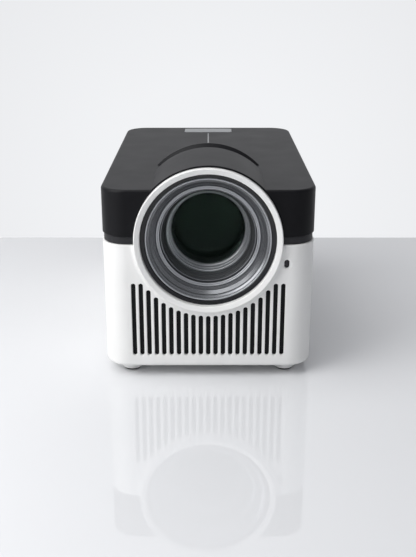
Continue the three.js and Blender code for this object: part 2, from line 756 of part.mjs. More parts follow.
const MAINS_WELL = { width: 17.4, height: 8.6, y0: DEPTH - 12 };
const MAINS_PIN = { spacing: 8.6, radius: 1.2 };

function mainsInlet() {
  const { z, width, height } = SOCKETS.mains;
  const y1 = DEPTH - 0.5;
  const shell = facing(roundedRectangle(width, height, 2, PANEL.x, z), y1 - 16, y1, 4);
  const well = roundedRectangle(MAINS_WELL.width, MAINS_WELL.height, 4.2, PANEL.x, z);
  return cut(solid(shell), facing(well, MAINS_WELL.y0, y1 + 1, 6));
}

function mainBoard() {
  const plate = block([BOARD_X, 165, 16], [BOARD_X + 1.6, 238, 94]);
  const chips = [[178, 66, 16, 4], [200, 50, 12, 3], [184, 36, 9, 6], [212, 78, 10, 3]];
  const parts = chips.map(([y, z, size, tall]) => {
    const half = size / 2;
    return block([BOARD_X - tall, y - half, z - half], [BOARD_X + 0.5, y + half, z + half]);
  });
  return join(plate, ...parts);
}

function powerBoard() {
  const plate = block([-54, 150, 16], [30, 222, 17.6]);
  const transformer = block([-14, 176, 17], [12, 200, 38]);
  const filter = block([14, 200, 17], [28, 216, 32]);
  const heatPlate = block([-48, 160, 17], [-45, 210, 42]);
  const capacitors = [[-34, 168], [-34, 188], [-20, 160]].map(([x, y]) => {
    return standing(rod(7, 17, 40, 12)).translate(x, y, 0);
  });
  return join(plate, transformer, filter, heatPlate, ...capacitors);
}

// ---------------------------------------------------------------- assembly

place("lower_case", lowerCase(), WHITE);
place("seam_band", seamBand(), BLACK);
place("top_cover", topCover(), BLACK);
place("power_key", powerKey(), KEY_GREY);
place("status_light_line", lightLine(), KEY_GREY);
place("key_board", keyBoard(), BOARD_GREEN);

const CORNERS = ["front_left", "front_right", "rear_left", "rear_right"];
CORNERS.forEach((corner, i) => {
  place(`foot_${corner}`, foot(), WHITE, frontFrame, [...FEET[i], 0]);
  place(`foot_pad_${corner}`, footPad(), RUBBER, frontFrame, [...FEET[i], 0]);
  place(`cover_screw_${corner}`, coverScrew(), STEEL, frontFrame, [...POSTS[i], 0]);
});
place("tripod_insert", tripodInsert(), BRASS, frontFrame, [0, TRIPOD.y, 0]);

place("lens_trim_ring", lensTrimRing(), GLOSS_BLACK, lensAxis);
place("lens_hood", lensHood(), HOOD_GREY, lensAxis);
place("sensor_window", sensorWindow(), GLOSS_BLACK);
place("vent_screen", ventScreen(), BLACK_STEEL);

place("lens_barrel", lensBarrel(), HOOD_GREY, lensAxis);
place("front_lens", lensElement(BARREL.bore - GAP, 27, 46, 7, 2), GLASS, lensAxis);
place("front_spacer", lensSpacer(44.8, 50), DARK, lensAxis);
place("middle_lens", lensElement(BARREL.bore - GAP, 52.3, 54, -2, -3), GLASS, lensAxis);
place("rear_spacer", lensSpacer(57.3, 63.7), DARK, lensAxis);
place("rear_lens", lensElement(BARREL.bore - GAP, 62.6, 77, 2, 3), GLASS, lensAxis);
place("retaining_ring", lensSpacer(75.2, 77.7), BRASS, lensAxis);
place("lens_sleeve", lensSleeve(), DARK, lensAxis);
place("focus_rack", focusRack(), ACETAL, lensAxis);
place("focus_pinion", focusPinion(), BRASS, lensAxis, [PINION_X, RACK.y, 0]);
place("focus_motor", focusMotor(), STEEL, lensAxis, [PINION_X, RACK.y, 0]);

place("light_housing", lightHousing(), DARK, lensAxis);
place("front_fresnel", panel(50, 28, 87, 89), GLASS, lensAxis);
place("lcd_panel", panel(52, 28.5, 93, 95.4), GLOSS_BLACK, lensAxis);
place("rear_fresnel", panel(50, 28, 99, 101), GLASS, lensAxis);
place("condenser_lens", lensElement(20, 128, 140, 5, 2), GLASS, lensAxis);
place("led_board", join(panel(18, 18, 150.3, 151.9), panel(7, 7, 148.6, 151)), ALUMINIUM, lensAxis);
place("heat_sink", heatSink(), ALUMINIUM, lensAxis);

place("fan_frame", fanFrame(), DARK, frontFrame, FAN_MIDDLE);
place("fan_rotor", fanRotor(), DARK, frontFrame, FAN_MIDDLE);
place("blower_housing", blowerHousing(), DARK, frontFrame, [0, BLOWER.y, 0]);
place("blower_impeller", blowerImpeller(), DARK, frontFrame, [0, BLOWER.y, 0]);
place("air_duct", airDuct(), DARK);

for (const [side, x] of [["left", -SPEAKER.x], ["right", SPEAKER.x]]) {
  place(`speaker_frame_${side}`, speakerFrame(), STEEL, frontFrame, [x, 0, SPEAKER.z]);
  place(`speaker_cone_${side}`, speakerCone(), DARK, frontFrame, [x, 0, SPEAKER.z]);
}

place("rear_panel", rearPanel(), DARK);
place("video_socket", socketShell(SOCKETS.video, 11, -0.5), STEEL);
place("upper_usb_socket", socketShell(SOCKETS.upperUsb, 15, 1.2), STEEL);
place("lower_usb_socket", socketShell(SOCKETS.lowerUsb, 15, 1.2), STEEL);
place("audio_jack", audioJack(), DARK);
place("mains_inlet", mainsInlet(), DARK);
for (const [side, sign] of [["left", -1], ["right", 1]]) {
  const x = PANEL.x + sign * MAINS_PIN.spacing / 2;
  const pin = rod(MAINS_PIN.radius, MAINS_WELL.y0 + GAP, DEPTH - 3, 12);
  place(`mains_pin_${side}`, pin, BRASS, frontFrame, [x, 0, SOCKETS.mains.z]);
}
place("main_board", mainBoard(), BOARD_GREEN);
place("power_board", powerBoard(), BOARD_GREEN);

export default projector;
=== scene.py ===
import math

import bmesh
import bpy
from mathutils import Matrix, Vector


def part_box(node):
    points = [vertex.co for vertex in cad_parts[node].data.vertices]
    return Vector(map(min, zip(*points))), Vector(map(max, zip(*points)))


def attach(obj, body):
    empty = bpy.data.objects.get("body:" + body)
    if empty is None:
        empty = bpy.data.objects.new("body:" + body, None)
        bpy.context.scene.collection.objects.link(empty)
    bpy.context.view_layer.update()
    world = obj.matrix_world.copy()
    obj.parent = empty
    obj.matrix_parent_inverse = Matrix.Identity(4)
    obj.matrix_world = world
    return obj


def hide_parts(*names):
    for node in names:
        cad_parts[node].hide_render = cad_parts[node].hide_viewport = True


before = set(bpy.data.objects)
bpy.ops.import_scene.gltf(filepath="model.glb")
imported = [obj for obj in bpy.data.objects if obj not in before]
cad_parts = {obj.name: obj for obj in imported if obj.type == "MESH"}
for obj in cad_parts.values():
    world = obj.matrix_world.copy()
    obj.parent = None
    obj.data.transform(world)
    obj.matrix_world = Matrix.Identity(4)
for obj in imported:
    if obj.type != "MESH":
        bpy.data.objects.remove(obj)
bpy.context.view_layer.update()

# ---------------------------------------------------------------------------------------------
# The studio. A camera looks down at the lens across a glossy pale table, in front of a pale
# wall. A soft light hangs low on the left, a much weaker one on the right, and a large one
# above the left of the table.

case_low, case_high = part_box("lower_case")
lens_low, lens_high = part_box("lens_trim_ring")
cover_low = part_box("top_cover")[0]
line_low, line_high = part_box("status_light_line")
LENS = (lens_low + lens_high) / 2
FRONT = cover_low.y
REAR = case_high.y
TOP = line_high.z
CAMERA_BACK = 0.5828
CAMERA_RISE = 0.143
CAMERA_PITCH = 70.49
TABLE_REACH = 0.35

camera_data = bpy.data.cameras.new("camera")
camera_data.lens = 56.88
camera_data.sensor_width = 36
camera_data.clip_start = 0.01
camera = bpy.data.objects.new("camera", camera_data)
camera.location = (-0.0002, FRONT - CAMERA_BACK, TOP + CAMERA_RISE)
camera.rotation_euler = (math.radians(CAMERA_PITCH), 0, 0)
bpy.context.scene.collection.objects.link(camera)
bpy.context.scene.camera = camera
bpy.context.scene.view_settings.view_transform = "Standard"


def mesh_object(name, vertices, faces):
    """A mesh piece whose faces all point outwards."""
    mesh = bpy.data.meshes.new(name)
    mesh.from_pydata(vertices, [], faces)
    shape = bmesh.new()
    shape.from_mesh(mesh)
    bmesh.ops.recalc_face_normals(shape, faces=shape.faces)
    shape.to_mesh(mesh)
    shape.free()
    piece = bpy.data.objects.new(name, mesh)
    bpy.context.scene.collection.objects.link(piece)
    return piece


def box_object(name, low, high):
    xs, ys, zs = zip(low, high)
    corners = [(x, y, z) for x in xs for y in ys for z in zs]
    faces = [(0, 1, 3, 2), (4, 6, 7, 5), (0, 4, 5, 1), (2, 3, 7, 6), (0, 2, 6, 4), (1, 5, 7, 3)]
    return mesh_object(name, corners, faces)


def new_material(name):
    material = bpy.data.materials.new(name)
    material.use_nodes = True
    tree = material.node_tree
    return material, tree, tree.nodes["Principled BSDF"]


def area_light(name, place, target, width, height, power, colour=(1, 1, 1)):
    data = bpy.data.lights.new(name, "AREA")
    data.shape = "RECTANGLE"
    data.size, data.size_y = width, height
    data.energy = power
    data.color = colour
    lamp = bpy.data.objects.new(name, data)
    lamp.location = place
    aim = Vector(target) - Vector(place)
    lamp.rotation_euler = aim.to_track_quat("-Z", "Y").to_euler()
    bpy.context.scene.collection.objects.link(lamp)
    return lamp


TABLE_THICK = 0.03
table = box_object("table", (-1.6, -1.6, -TABLE_THICK), (1.6, FRONT + TABLE_REACH, 0))
wall = box_object("wall", (-4, 1.6, -2), (4, 1.65, 4))

table_material, tree, shader = new_material("table_gloss")
mottle = tree.nodes.new("ShaderNodeTexNoise")
mottle.inputs["Scale"].default_value = 3
ramp = tree.nodes.new("ShaderNodeValToRGB")
ramp.color_ramp.elements[0].color = (0.74, 0.745, 0.76, 1)
ramp.color_ramp.elements[1].color = (0.77, 0.775, 0.785, 1)
tree.links.new(mottle.outputs["Fac"], ramp.inputs["Fac"])
tree.links.new(ramp.outputs["Color"], shader.inputs["Base Color"])
shader.inputs["Roughness"].default_value = 0.004
shader.inputs["IOR"].default_value = 1.6
table.data.materials.append(table_material)

# The wall glows evenly, a little less towards its edges, as paper lit from both sides does. It
# throws half of that light on the room, so that the table in front of the case stays open.
wall_material, tree, shader = new_material("lit_paper")
place = tree.nodes.new("ShaderNodeTexCoord")
spot = tree.nodes.new("ShaderNodeVectorMath")
spot.operation = "DISTANCE"
spot.inputs[1].default_value = (0, 1.6, -0.3)
tree.links.new(place.outputs["Object"], spot.inputs[0])
falloff = tree.nodes.new("ShaderNodeMapRange")
falloff.inputs["From Min"].default_value = 0.3
falloff.inputs["From Max"].default_value = 1.5
falloff.inputs["To Min"].default_value = 0.0
falloff.inputs["To Max"].default_value = 1.0
tree.links.new(spot.outputs["Value"], falloff.inputs["Value"])
paper = tree.nodes.new("ShaderNodeValToRGB")
paper.color_ramp.elements[0].color = (0.885, 0.895, 0.915, 1)
paper.color_ramp.elements[1].color = (0.72, 0.725, 0.745, 1)
tree.links.new(falloff.outputs["Result"], paper.inputs["Fac"])
tree.links.new(paper.outputs["Color"], shader.inputs["Emission Color"])
ray = tree.nodes.new("ShaderNodeLightPath")
thrown = tree.nodes.new("ShaderNodeMath")
thrown.operation = "MULTIPLY_ADD"
thrown.inputs[1].default_value = -0.5
thrown.inputs[2].default_value = 1
tree.links.new(ray.outputs["Is Diffuse Ray"], thrown.inputs[0])
tree.links.new(thrown.outputs["Value"], shader.inputs["Emission Strength"])
shader.inputs["Base Color"].default_value = (0, 0, 0, 1)
shader.inputs["Specular IOR Level"].default_value = 0
wall.data.materials.append(wall_material)

area_light("key_light", (-0.62, FRONT - 0.34, 0.42), (0, FRONT + 0.08, 0.06), 0.5, 0.5, 3.2)
area_light("fill_light", (0.9, FRONT - 0.8, 0.6), (0, 0, 0.08), 0.9, 0.9, 0.15)
area_light("top_light", (-0.55, -0.35, 1.15), (-0.05, -0.15, 0), 1.1, 1.0, 10.4)

world = bpy.data.worlds.new("studio")
world.use_nodes = True
world.node_tree.nodes["Background"].inputs["Color"].default_value = (0.92, 0.94, 1, 1)
world.node_tree.nodes["Background"].inputs["Strength"].default_value = 0.36
bpy.context.scene.world = world

# ---------------------------------------------------------------------------------------------
# The lower case. One white ABS moulding: a tub with round upright corners and a soft bottom
# edge, the lens ring standing proud of its front, vents that follow the ring, and a shallow
# dish round the sensor window.

MM = 0.001
WALL = 2.4 * MM
CORNER = 18 * MM
HALF_WIDTH = case_high.x
CASE_FOOT = case_low.z
CASE_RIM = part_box("seam_band")[0].z + 3.5 * MM
CASE_FLOOR = CASE_FOOT + 2.6 * MM
RING_OUTER = 51.9 * MM
RING_INNER = 47.7 * MM
RING_PROUD = FRONT - case_low.y
RING_FALL = 1.4 * MM
SLOT_PITCH = 5.3 * MM
SLOT_WIDTH = 3.2 * MM


def rounded_outline(x0, x1, y0, y1, radius, steps=14):
    """Points round a rectangle with round corners, anticlockwise."""
    centres = [(x1 - radius, y1 - radius, 0), (x0 + radius, y1 - radius, 1),
               (x0 + radius, y0 + radius, 2), (x1 - radius, y0 + radius, 3)]
    points = []
    for cx, cy, quarter in centres:
        for i in range(steps + 1):
            a = (quarter + i / steps) * math.pi / 2
            points.append((cx + radius * math.cos(a), cy + radius * math.sin(a)))
    return points


def lofted(name, loops):
    """A closed skin over loops of equal length, capped at both ends."""
    count = len(loops[0])
    vertices = [point for loop in loops for point in loop]
    faces = [tuple(reversed(range(count)))]
    for k in range(len(loops) - 1):
        for i in range(count):
            j = (i + 1) % count
            faces.append((k * count + i, k * count + j, (k + 1) * count + j, (k + 1) * count + i))
    faces.append(tuple((len(loops) - 1) * count + i for i in range(count)))
    return mesh_object(name, vertices, faces)


def turned(name, section, centre=LENS, axis="Y", segments=160):
    """A ring or solid turned about an axis, from [radius, distance along the axis] points in metres."""
    on_axis = section[0][0] < 1e-7 and section[-1][0] < 1e-7
    mesh = bmesh.new()
    rows = []
    for radius, along in section:
        if radius < 1e-7:
            rows.append([mesh.verts.new((0, along, 0))] * segments)
            continue
        row = []
        for i in range(segments):
            a = 2 * math.pi * i / segments
            row.append(mesh.verts.new((radius * math.cos(a), along, radius * math.sin(a))))
        rows.append(row)
    pairs = list(zip(rows, rows[1:]))
    if not on_axis:
        pairs.append((rows[-1], rows[0]))
    for here, there in pairs:
        for i in range(segments):
            j = (i + 1) % segments
            corners = []
            for vertex in (here[i], here[j], there[j], there[i]):
                if vertex not in corners:
                    corners.append(vertex)
            if len(corners) > 2:
                mesh.faces.new(corners)
    bmesh.ops.recalc_face_normals(mesh, faces=mesh.faces)
    if axis == "Z":
        mesh.transform(Matrix.Rotation(math.pi / 2, 4, "X"))
    if axis == "X":
        mesh.transform(Matrix.Rotation(-math.pi / 2, 4, "Z"))
    mesh.transform(Matrix.Translation(Vector(centre)))
    data = bpy.data.meshes.new(name)
    mesh.to_mesh(data)
    mesh.free()
    piece = bpy.data.objects.new(name, data)
    bpy.context.scene.collection.objects.link(piece)
    return piece


def rounded_section(corners, arc=4):
    """A section's corners as [radius, along, rounding], each rounded with a short arc."""
    points = []
    count = len(corners)
    for i, (r, y, rounding) in enumerate(corners):
        here = Vector((r, y))
        if rounding <= 0:
            points.append(here)
            continue
        back = (Vector(corners[i - 1][:2]) - here).normalized()
        ahead = (Vector(corners[(i + 1) % count][:2]) - here).normalized()
        half = back.angle(ahead) / 2
        reach = rounding / math.tan(half)
        start, end = here + back * reach, here + ahead * reach
        centre = here + (back + ahead).normalized() * (rounding / math.sin(half))
        a, b = start - centre, end - centre
        turn = a.angle_signed(b)
        for k in range(arc + 1):
            spun = a.copy()
            spun.rotate(Matrix.Rotation(-turn * k / arc, 2))
            points.append(centre + spun)
    return [(p.x, p.y) for p in points]


def combine(body, tool, operation):
    """Joins the tool to the body or cuts it away, and removes the tool."""
    modifier = body.modifiers.new("combine", "BOOLEAN")
    modifier.operation = operation
    modifier.object = tool
    modifier.solver = "MANIFOLD"
    bpy.context.view_layer.update()
    shape = body.evaluated_get(bpy.context.evaluated_depsgraph_get())
    fresh = bpy.data.meshes.new_from_object(shape)
    fresh.materials.clear()
    body.modifiers.clear()
    old = body.data
    body.data = fresh
    bpy.data.meshes.remove(old)
    bpy.data.objects.remove(tool)


def smooth(piece, angle=34, weighted=True):
    """Smooth shading that keeps the edges sharper than the angle, with flat faces kept flat."""
    for polygon in piece.data.polygons:
        polygon.use_smooth = True
    piece.data.set_sharp_from_angle(angle=math.radians(angle))
    if weighted:
        modifier = piece.modifiers.new("flat faces stay flat", "WEIGHTED_NORMAL")
        modifier.keep_sharp = True
        modifier.weight = 100
    return piece


def case_loop(inset, z, steps=14):
    outline = rounded_outline(-HALF_WIDTH + inset, HALF_WIDTH - inset, FRONT + inset, REAR - inset,
                              CORNER - inset, steps)
    return [(x, y, z) for x, y in outline]


BOTTOM_ROUND = 3 * MM
RIM_ROUND = 0.35 * MM
loops = []
for i in range(9):
    a = math.pi / 2 * i / 8
    loops.append(case_loop(BOTTOM_ROUND * (1 - math.sin(a)), CASE_FOOT + BOTTOM_ROUND * (1 - math.cos(a))))
for i in range(4):
    a = math.pi / 2 * i / 3
    loops.append(case_loop(RIM_ROUND * (1 - math.cos(a)), CASE_RIM - RIM_ROUND * (1 - math.sin(a))))
for i in range(4):
    a = math.pi / 2 * i / 3
    loops.append(case_loop(WALL - RIM_ROUND * (1 - math.sin(a)), CASE_RIM - RIM_ROUND * (1 - math.cos(a))))
loops.append(case_loop(WALL, CASE_FLOOR))
lower_case = lofted("white_case", loops)

ring_face = FRONT - RING_PROUD - LENS.y
wall_face = FRONT - LENS.y
ring = turned("ring", rounded_section([
    (RING_INNER, ring_face + RING_FALL, 0.9 * MM), (RING_OUTER, ring_face, 0.7 * MM),
    (RING_OUTER, wall_face + 3 * MM, 0), (RING_INNER, wall_face + 3 * MM, 0)], 6))
combine(lower_case, ring, "UNION")

# The hollow sweep that leads the lower half of the ring into the front wall.
SWEEP = 3.2 * MM
section = [(RING_INNER + 1 * MM, wall_face + 1 * MM), (RING_INNER + 1 * MM, wall_face - RING_FALL),
           (RING_OUTER - 0.6 * MM, wall_face - SWEEP)]
for i in range(9):
    a = math.pi / 2 * i / 8
    section.append((RING_OUTER + SWEEP * (1 - math.cos(a)), wall_face - SWEEP * (1 - math.sin(a))))
section.append((RING_OUTER + SWEEP, wall_face + 1 * MM))
sweep = turned("sweep", section)
combine(sweep, box_object("above", (-0.1, FRONT - 0.02, CASE_RIM), (0.1, FRONT + 0.02, 0.2)), "DIFFERENCE")
combine(lower_case, sweep, "UNION")

mouth = turned("mouth", [(0, wall_face - 1 * MM), (RING_INNER, wall_face - 1 * MM),
                         (RING_INNER, wall_face + 4 * MM), (0, wall_face + 4 * MM)])
combine(lower_case, mouth, "DIFFERENCE")


def slot_cutter(name, centre, length, along, out, depth=4 * MM, width=SLOT_WIDTH, lip=0.35 * MM):
    """A slot with round ends and a softly rounded mouth. It runs along one axis and cuts in against out."""
    along, out, centre = Vector(along), Vector(out), Vector(centre)
    side = along.cross(out)
    loops = []
    rings = [(lip, 0.5 * MM)]
    rings += [(lip * (1 - math.sin(a)), -lip * (1 - math.cos(a)))
              for a in (math.pi / 2 * i / 4 for i in range(5))]
    rings.append((0, -depth))
    for spread, height in rings:
        outline = rounded_outline(-width / 2 - spread, width / 2 + spread,
                                  -length / 2 - spread, length / 2 + spread, width / 2 + spread - 1e-6, 6)
        loops.append([centre + side * u + along * v + out * height for u, v in outline])
    return lofted(name, loops)


def vent_row(count, make):
    return [make(i - (count - 1) / 2) for i in range(count)]


def join_meshes(name, pieces):
    mesh = bmesh.new()
    for piece in pieces:
        mesh.from_mesh(piece.data)
        bpy.data.objects.remove(piece)
    bmesh.ops.recalc_face_normals(mesh, faces=mesh.faces)
    data = bpy.data.meshes.new(name)
    mesh.to_mesh(data)
    mesh.free()
    piece = bpy.data.objects.new(name, data)
    bpy.context.scene.collection.objects.link(piece)
    return piece


VENT_RADIUS = 55.7 * MM
VENT_FOOT = 16.8 * MM
VENT_SHOULDER = 72 * MM


def front_slot(step):
    x = step * SLOT_PITCH
    top = min(VENT_SHOULDER, LENS.z - math.sqrt(max(0, VENT_RADIUS ** 2 - x ** 2)))
    return slot_cutter("slot", (x, FRONT, (VENT_FOOT + top) / 2), top - VENT_FOOT, (0, 0, 1), (0, -1, 0))


fan_low, fan_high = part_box("fan_frame")
FAN = (fan_low + fan_high) / 2
blower_low, blower_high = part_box("blower_housing")
BLOWER = (blower_low + blower_high) / 2
SIDE_VENT = Vector((0, FRONT + 110 * MM, 41 * MM))

cutters = vent_row(21, front_slot)
cutters += vent_row(11, lambda step: slot_cutter(
    "slot", (FAN.x + step * SLOT_PITCH, REAR, FAN.z), 60 * MM, (0, 0, 1), (0, 1, 0)))
for side in (-1, 1):
    cutters += vent_row(5, lambda step: slot_cutter(
        "slot", (side * HALF_WIDTH, SIDE_VENT.y + step * SLOT_PITCH, SIDE_VENT.z), 38 * MM,
        (0, 0, 1), (side, 0, 0)))
cutters += vent_row(5, lambda step: slot_cutter(
    "slot", (step * SLOT_PITCH, BLOWER.y, CASE_FOOT), 40 * MM, (0, 1, 0), (0, 0, -1)))
combine(lower_case, join_meshes("slots", cutters), "DIFFERENCE")

window_low, window_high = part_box("sensor_window")
SENSOR = (window_low + window_high) / 2
EYE_WIDTH, EYE_HEIGHT = 3.6 * MM, 6.1 * MM
DISH_RADIUS, DISH_CENTRE = 12 * MM, 11.3 * MM
dish_section = [(0, -DISH_CENTRE - DISH_RADIUS)]
for i in range(1, 40):
    a = math.pi * i / 40
    dish_section.append((DISH_RADIUS * math.sin(a), -DISH_CENTRE - DISH_RADIUS * math.cos(a)))
dish_section.append((0, -DISH_CENTRE + DISH_RADIUS))
dish = turned("dish", dish_section, (SENSOR.x, FRONT, SENSOR.z), segments=96)
before_wall = box_object("before the wall", (-0.1, FRONT - 0.05, 0), (0.1, FRONT - 0.05 * MM, 0.2))
combine(dish, before_wall, "DIFFERENCE")
combine(lower_case, dish, "DIFFERENCE")
eye = slot_cutter("eye", (SENSOR.x, FRONT + 0.7 * MM, SENSOR.z), EYE_HEIGHT, (0, 0, 1), (0, -1, 0),
                  width=EYE_WIDTH, lip=0.2 * MM)
combine(lower_case, eye, "DIFFERENCE")

panel_low, panel_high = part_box("rear_panel")
PANEL_GAP = 0.3 * MM
PANEL = Vector((panel_low.x + 15 * MM, REAR, panel_low.z + 41.5 * MM))
PANEL_WIDTH, PANEL_HEIGHT = 24 * MM, 80 * MM


def facing_prism(name, outline, y0, y1):
    """A prism along Y from an outline in X and Z."""
    return lofted(name, [[(x, y, z) for x, z in outline] for y in (y1, y0)])


panel_hole = rounded_outline(
    PANEL.x - PANEL_WIDTH / 2 - PANEL_GAP, PANEL.x + PANEL_WIDTH / 2 + PANEL_GAP,
    PANEL.z - PANEL_HEIGHT / 2 - PANEL_GAP, PANEL.z + PANEL_HEIGHT / 2 + PANEL_GAP, 2 * MM, 6)
combine(lower_case, facing_prism("panel hole", panel_hole, REAR - 4 * MM, REAR + 1 * MM), "DIFFERENCE")

for corner in ("front_left", "front_right", "rear_left", "rear_right"):
    low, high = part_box(f"cover_screw_{corner}")
    x, y = (low.x + high.x) / 2, (low.y + high.y) / 2
    post = turned("post", [(0, CASE_FLOOR - 1 * MM), (5 * MM, CASE_FLOOR - 1 * MM), (5 * MM, 88.3 * MM),
                           (0, 88.3 * MM)], (x, y, 0), "Z", 40)
    combine(lower_case, post, "UNION")
    bore = turned("bore", [(0, 0), (4.2 * MM, 0), (4.2 * MM, CASE_FOOT), (3.6 * MM, CASE_FOOT + 0.6 * MM),
                           (3.6 * MM, 84 * MM), (1.8 * MM, 84 * MM), (1.8 * MM, 90 * MM), (0, 90 * MM)],
                  (x, y, 0), "Z", 40)
    combine(lower_case, bore, "DIFFERENCE")
    low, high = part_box(f"foot_{corner}")
    x, y = (low.x + high.x) / 2, (low.y + high.y) / 2
    peg_hole = turned("peg hole", [(0, 0), (2.8 * MM, 0), (2.8 * MM, 0.015), (0, 0.015)],
                      (x, y, 0), "Z", 32)
    combine(lower_case, peg_hole, "DIFFERENCE")

insert_low, insert_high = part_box("tripod_insert")
INSERT = (insert_low + insert_high) / 2
boss = turned("boss", [(0, CASE_FLOOR - 1 * MM), (8 * MM, CASE_FLOOR - 1 * MM), (8 * MM, insert_high.z),
                       (0, insert_high.z)], (INSERT.x, INSERT.y, 0), "Z", 48)
combine(lower_case, boss, "UNION")
boss_hole = turned("boss hole", [(0, 0), (5.3 * MM, 0), (5.3 * MM, 0.03), (0, 0.03)],
                   (INSERT.x, INSERT.y, 0), "Z", 48)
combine(lower_case, boss_hole, "DIFFERENCE")
smooth(lower_case)


def new_group(name, inputs, outputs):
    """An empty shader node group with named sockets."""
    group = bpy.data.node_groups.new(name, "ShaderNodeTree")
    kinds = {"colour": "NodeSocketColor", "value": "NodeSocketFloat", "vector": "NodeSocketVector"}
    for label, kind, default in inputs:
        socket = group.interface.new_socket(label, in_out="INPUT", socket_type=kinds[kind])
        socket.default_value = default
    for label, kind in outputs:
        group.interface.new_socket(label, in_out="OUTPUT", socket_type=kinds[kind])
    return group, group.nodes.new("NodeGroupInput"), group.nodes.new("NodeGroupOutput")


def place_group(tree, group, **values):
    """The group as a node in a material, with its inputs set; underscores in a name stand for spaces."""
    node = tree.nodes.new("ShaderNodeGroup")
    node.node_tree = group
    for label, value in values.items():
        node.inputs[label.replace("_", " ")].default_value = value
    return node


# Moulded skin: a spark-eroded grain in the surface, faint flow clouds in the colour, and
# smoother patches where it has been handled.
skin_group, skin_in, skin_out = new_group(
    "moulded skin",
    [("Colour", "colour", (0.8, 0.8, 0.8, 1)), ("Cloud Colour", "colour", (0.7, 0.7, 0.7, 1)),
     ("Cloud Size", "value", 18), ("Grain Size", "value", 2600), ("Grain Depth", "value", 0.00002),
     ("Roughness", "value", 0.5), ("Rough Spread", "value", 0.1)],
    [("Colour", "colour"), ("Roughness", "value"), ("Normal", "vector")])
nodes, link = skin_group.nodes, skin_group.links.new
place = nodes.new("ShaderNodeTexCoord")
clouds = nodes.new("ShaderNodeTexNoise")
clouds.inputs["Detail"].default_value = 5
clouds.inputs["Roughness"].default_value = 0.62
link(place.outputs["Object"], clouds.inputs["Vector"])
link(skin_in.outputs["Cloud Size"], clouds.inputs["Scale"])
cloud_mask = nodes.new("ShaderNodeMapRange")
cloud_mask.inputs["From Min"].default_value = 0.35
cloud_mask.inputs["From Max"].default_value = 0.68
link(clouds.outputs["Fac"], cloud_mask.inputs["Value"])
tint = nodes.new("ShaderNodeMix")
tint.data_type = "RGBA"
link(cloud_mask.outputs["Result"], tint.inputs["Factor"])
link(skin_in.outputs["Colour"], tint.inputs["A"])
link(skin_in.outputs["Cloud Colour"], tint.inputs["B"])
link(tint.outputs["Result"], skin_out.inputs["Colour"])
grain = nodes.new("ShaderNodeTexNoise")
grain.inputs["Detail"].default_value = 3
link(place.outputs["Object"], grain.inputs["Vector"])
link(skin_in.outputs["Grain Size"], grain.inputs["Scale"])
rubbed = nodes.new("ShaderNodeTexNoise")
rubbed.inputs["Scale"].default_value = 42
rubbed.inputs["Detail"].default_value = 4
link(place.outputs["Object"], rubbed.inputs["Vector"])
spread = nodes.new("ShaderNodeMath")
spread.operation = "MULTIPLY_ADD"
centred = nodes.new("ShaderNodeMath")
centred.operation = "SUBTRACT"
centred.inputs[1].default_value = 0.5
link(rubbed.outputs["Fac"], centred.inputs[0])
link(centred.outputs[0], spread.inputs[0])
link(skin_in.outputs["Rough Spread"], spread.inputs[1])
link(skin_in.outputs["Roughness"], spread.inputs[2])
link(spread.outputs[0], skin_out.inputs["Roughness"])
bump = nodes.new("ShaderNodeBump")
bump.inputs["Strength"].default_value = 0.5
link(skin_in.outputs["Grain Depth"], bump.inputs["Distance"])
link(grain.outputs["Fac"], bump.inputs["Height"])
link(bump.outputs["Normal"], skin_out.inputs["Normal"])


def skin_material(name, colour, cloud, roughness, spread=0.1, grain=2600, depth=0.00002, specular=0.5,
                  cloud_size=18, metallic=0.0):
    """A moulded or plated surface, with its grain, clouds and handled patches."""
    material, tree, shader = new_material(name)
    skin = place_group(tree, skin_group, Colour=(*colour, 1), Cloud_Colour=(*cloud, 1),
                       Cloud_Size=cloud_size, Grain_Size=grain, Grain_Depth=depth, Roughness=roughness,
                       Rough_Spread=spread)
    shader.inputs["Metallic"].default_value = metallic
    tree.links.new(skin.outputs["Colour"], shader.inputs["Base Color"])
    tree.links.new(skin.outputs["Roughness"], shader.inputs["Roughness"])
    tree.links.new(skin.outputs["Normal"], shader.inputs["Normal"])
    shader.inputs["Specular IOR Level"].default_value = specular
    return material


white_abs = skin_material("white_abs", (0.86, 0.857, 0.843), (0.835, 0.832, 0.815), 0.42)
lower_case.data.materials.append(white_abs)
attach(lower_case, "housing")
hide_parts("lower_case")

# ---------------------------------------------------------------------------------------------
# The seam band. A black moulded strip that stands inside both shells and shows as the dark
# groove between them. It stops where the lens ring passes through.

band_low, band_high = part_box("seam_band")
BAND_INSET = 2.7 * MM
BAND_STEP = 1 * MM
BAND_THICK = 1.6 * MM
BAND_EDGE = 0.3 * MM
step_low, step_high = CASE_RIM + 0.2 * MM, CASE_RIM + 5.7 * MM

seam_band = lofted("seam_strip", [case_loop(inset, z) for inset, z in [
    (BAND_INSET + BAND_EDGE, band_low.z), (BAND_INSET, band_low.z + BAND_EDGE), (BAND_INSET, step_low),
    (BAND_STEP + BAND_EDGE, step_low), (BAND_STEP, step_low + BAND_EDGE),
    (BAND_STEP, step_high - BAND_EDGE), (BAND_STEP + BAND_EDGE, step_high), (BAND_INSET, step_high),
    (BAND_INSET, band_high.z - BAND_EDGE), (BAND_INSET + BAND_EDGE, band_high.z)]])
band_hollow = lofted("hollow", [case_loop(BAND_INSET + BAND_THICK, z) for z in (0.08, 0.13)])
combine(seam_band, band_hollow, "DIFFERENCE")
combine(seam_band, turned("gap", [(0, -0.14), (52.2 * MM, -0.14), (52.2 * MM, -0.09), (0, -0.09)],
                          (LENS.x, 0, LENS.z)), "DIFFERENCE")
smooth(seam_band)
black_trim = skin_material("black_trim_plastic", (0.012, 0.012, 0.014), (0.017, 0.017, 0.02), 0.48, 0.12,
                           specular=0.35)
seam_band.data.materials.append(black_trim)
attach(seam_band, "housing")
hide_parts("seam_band")

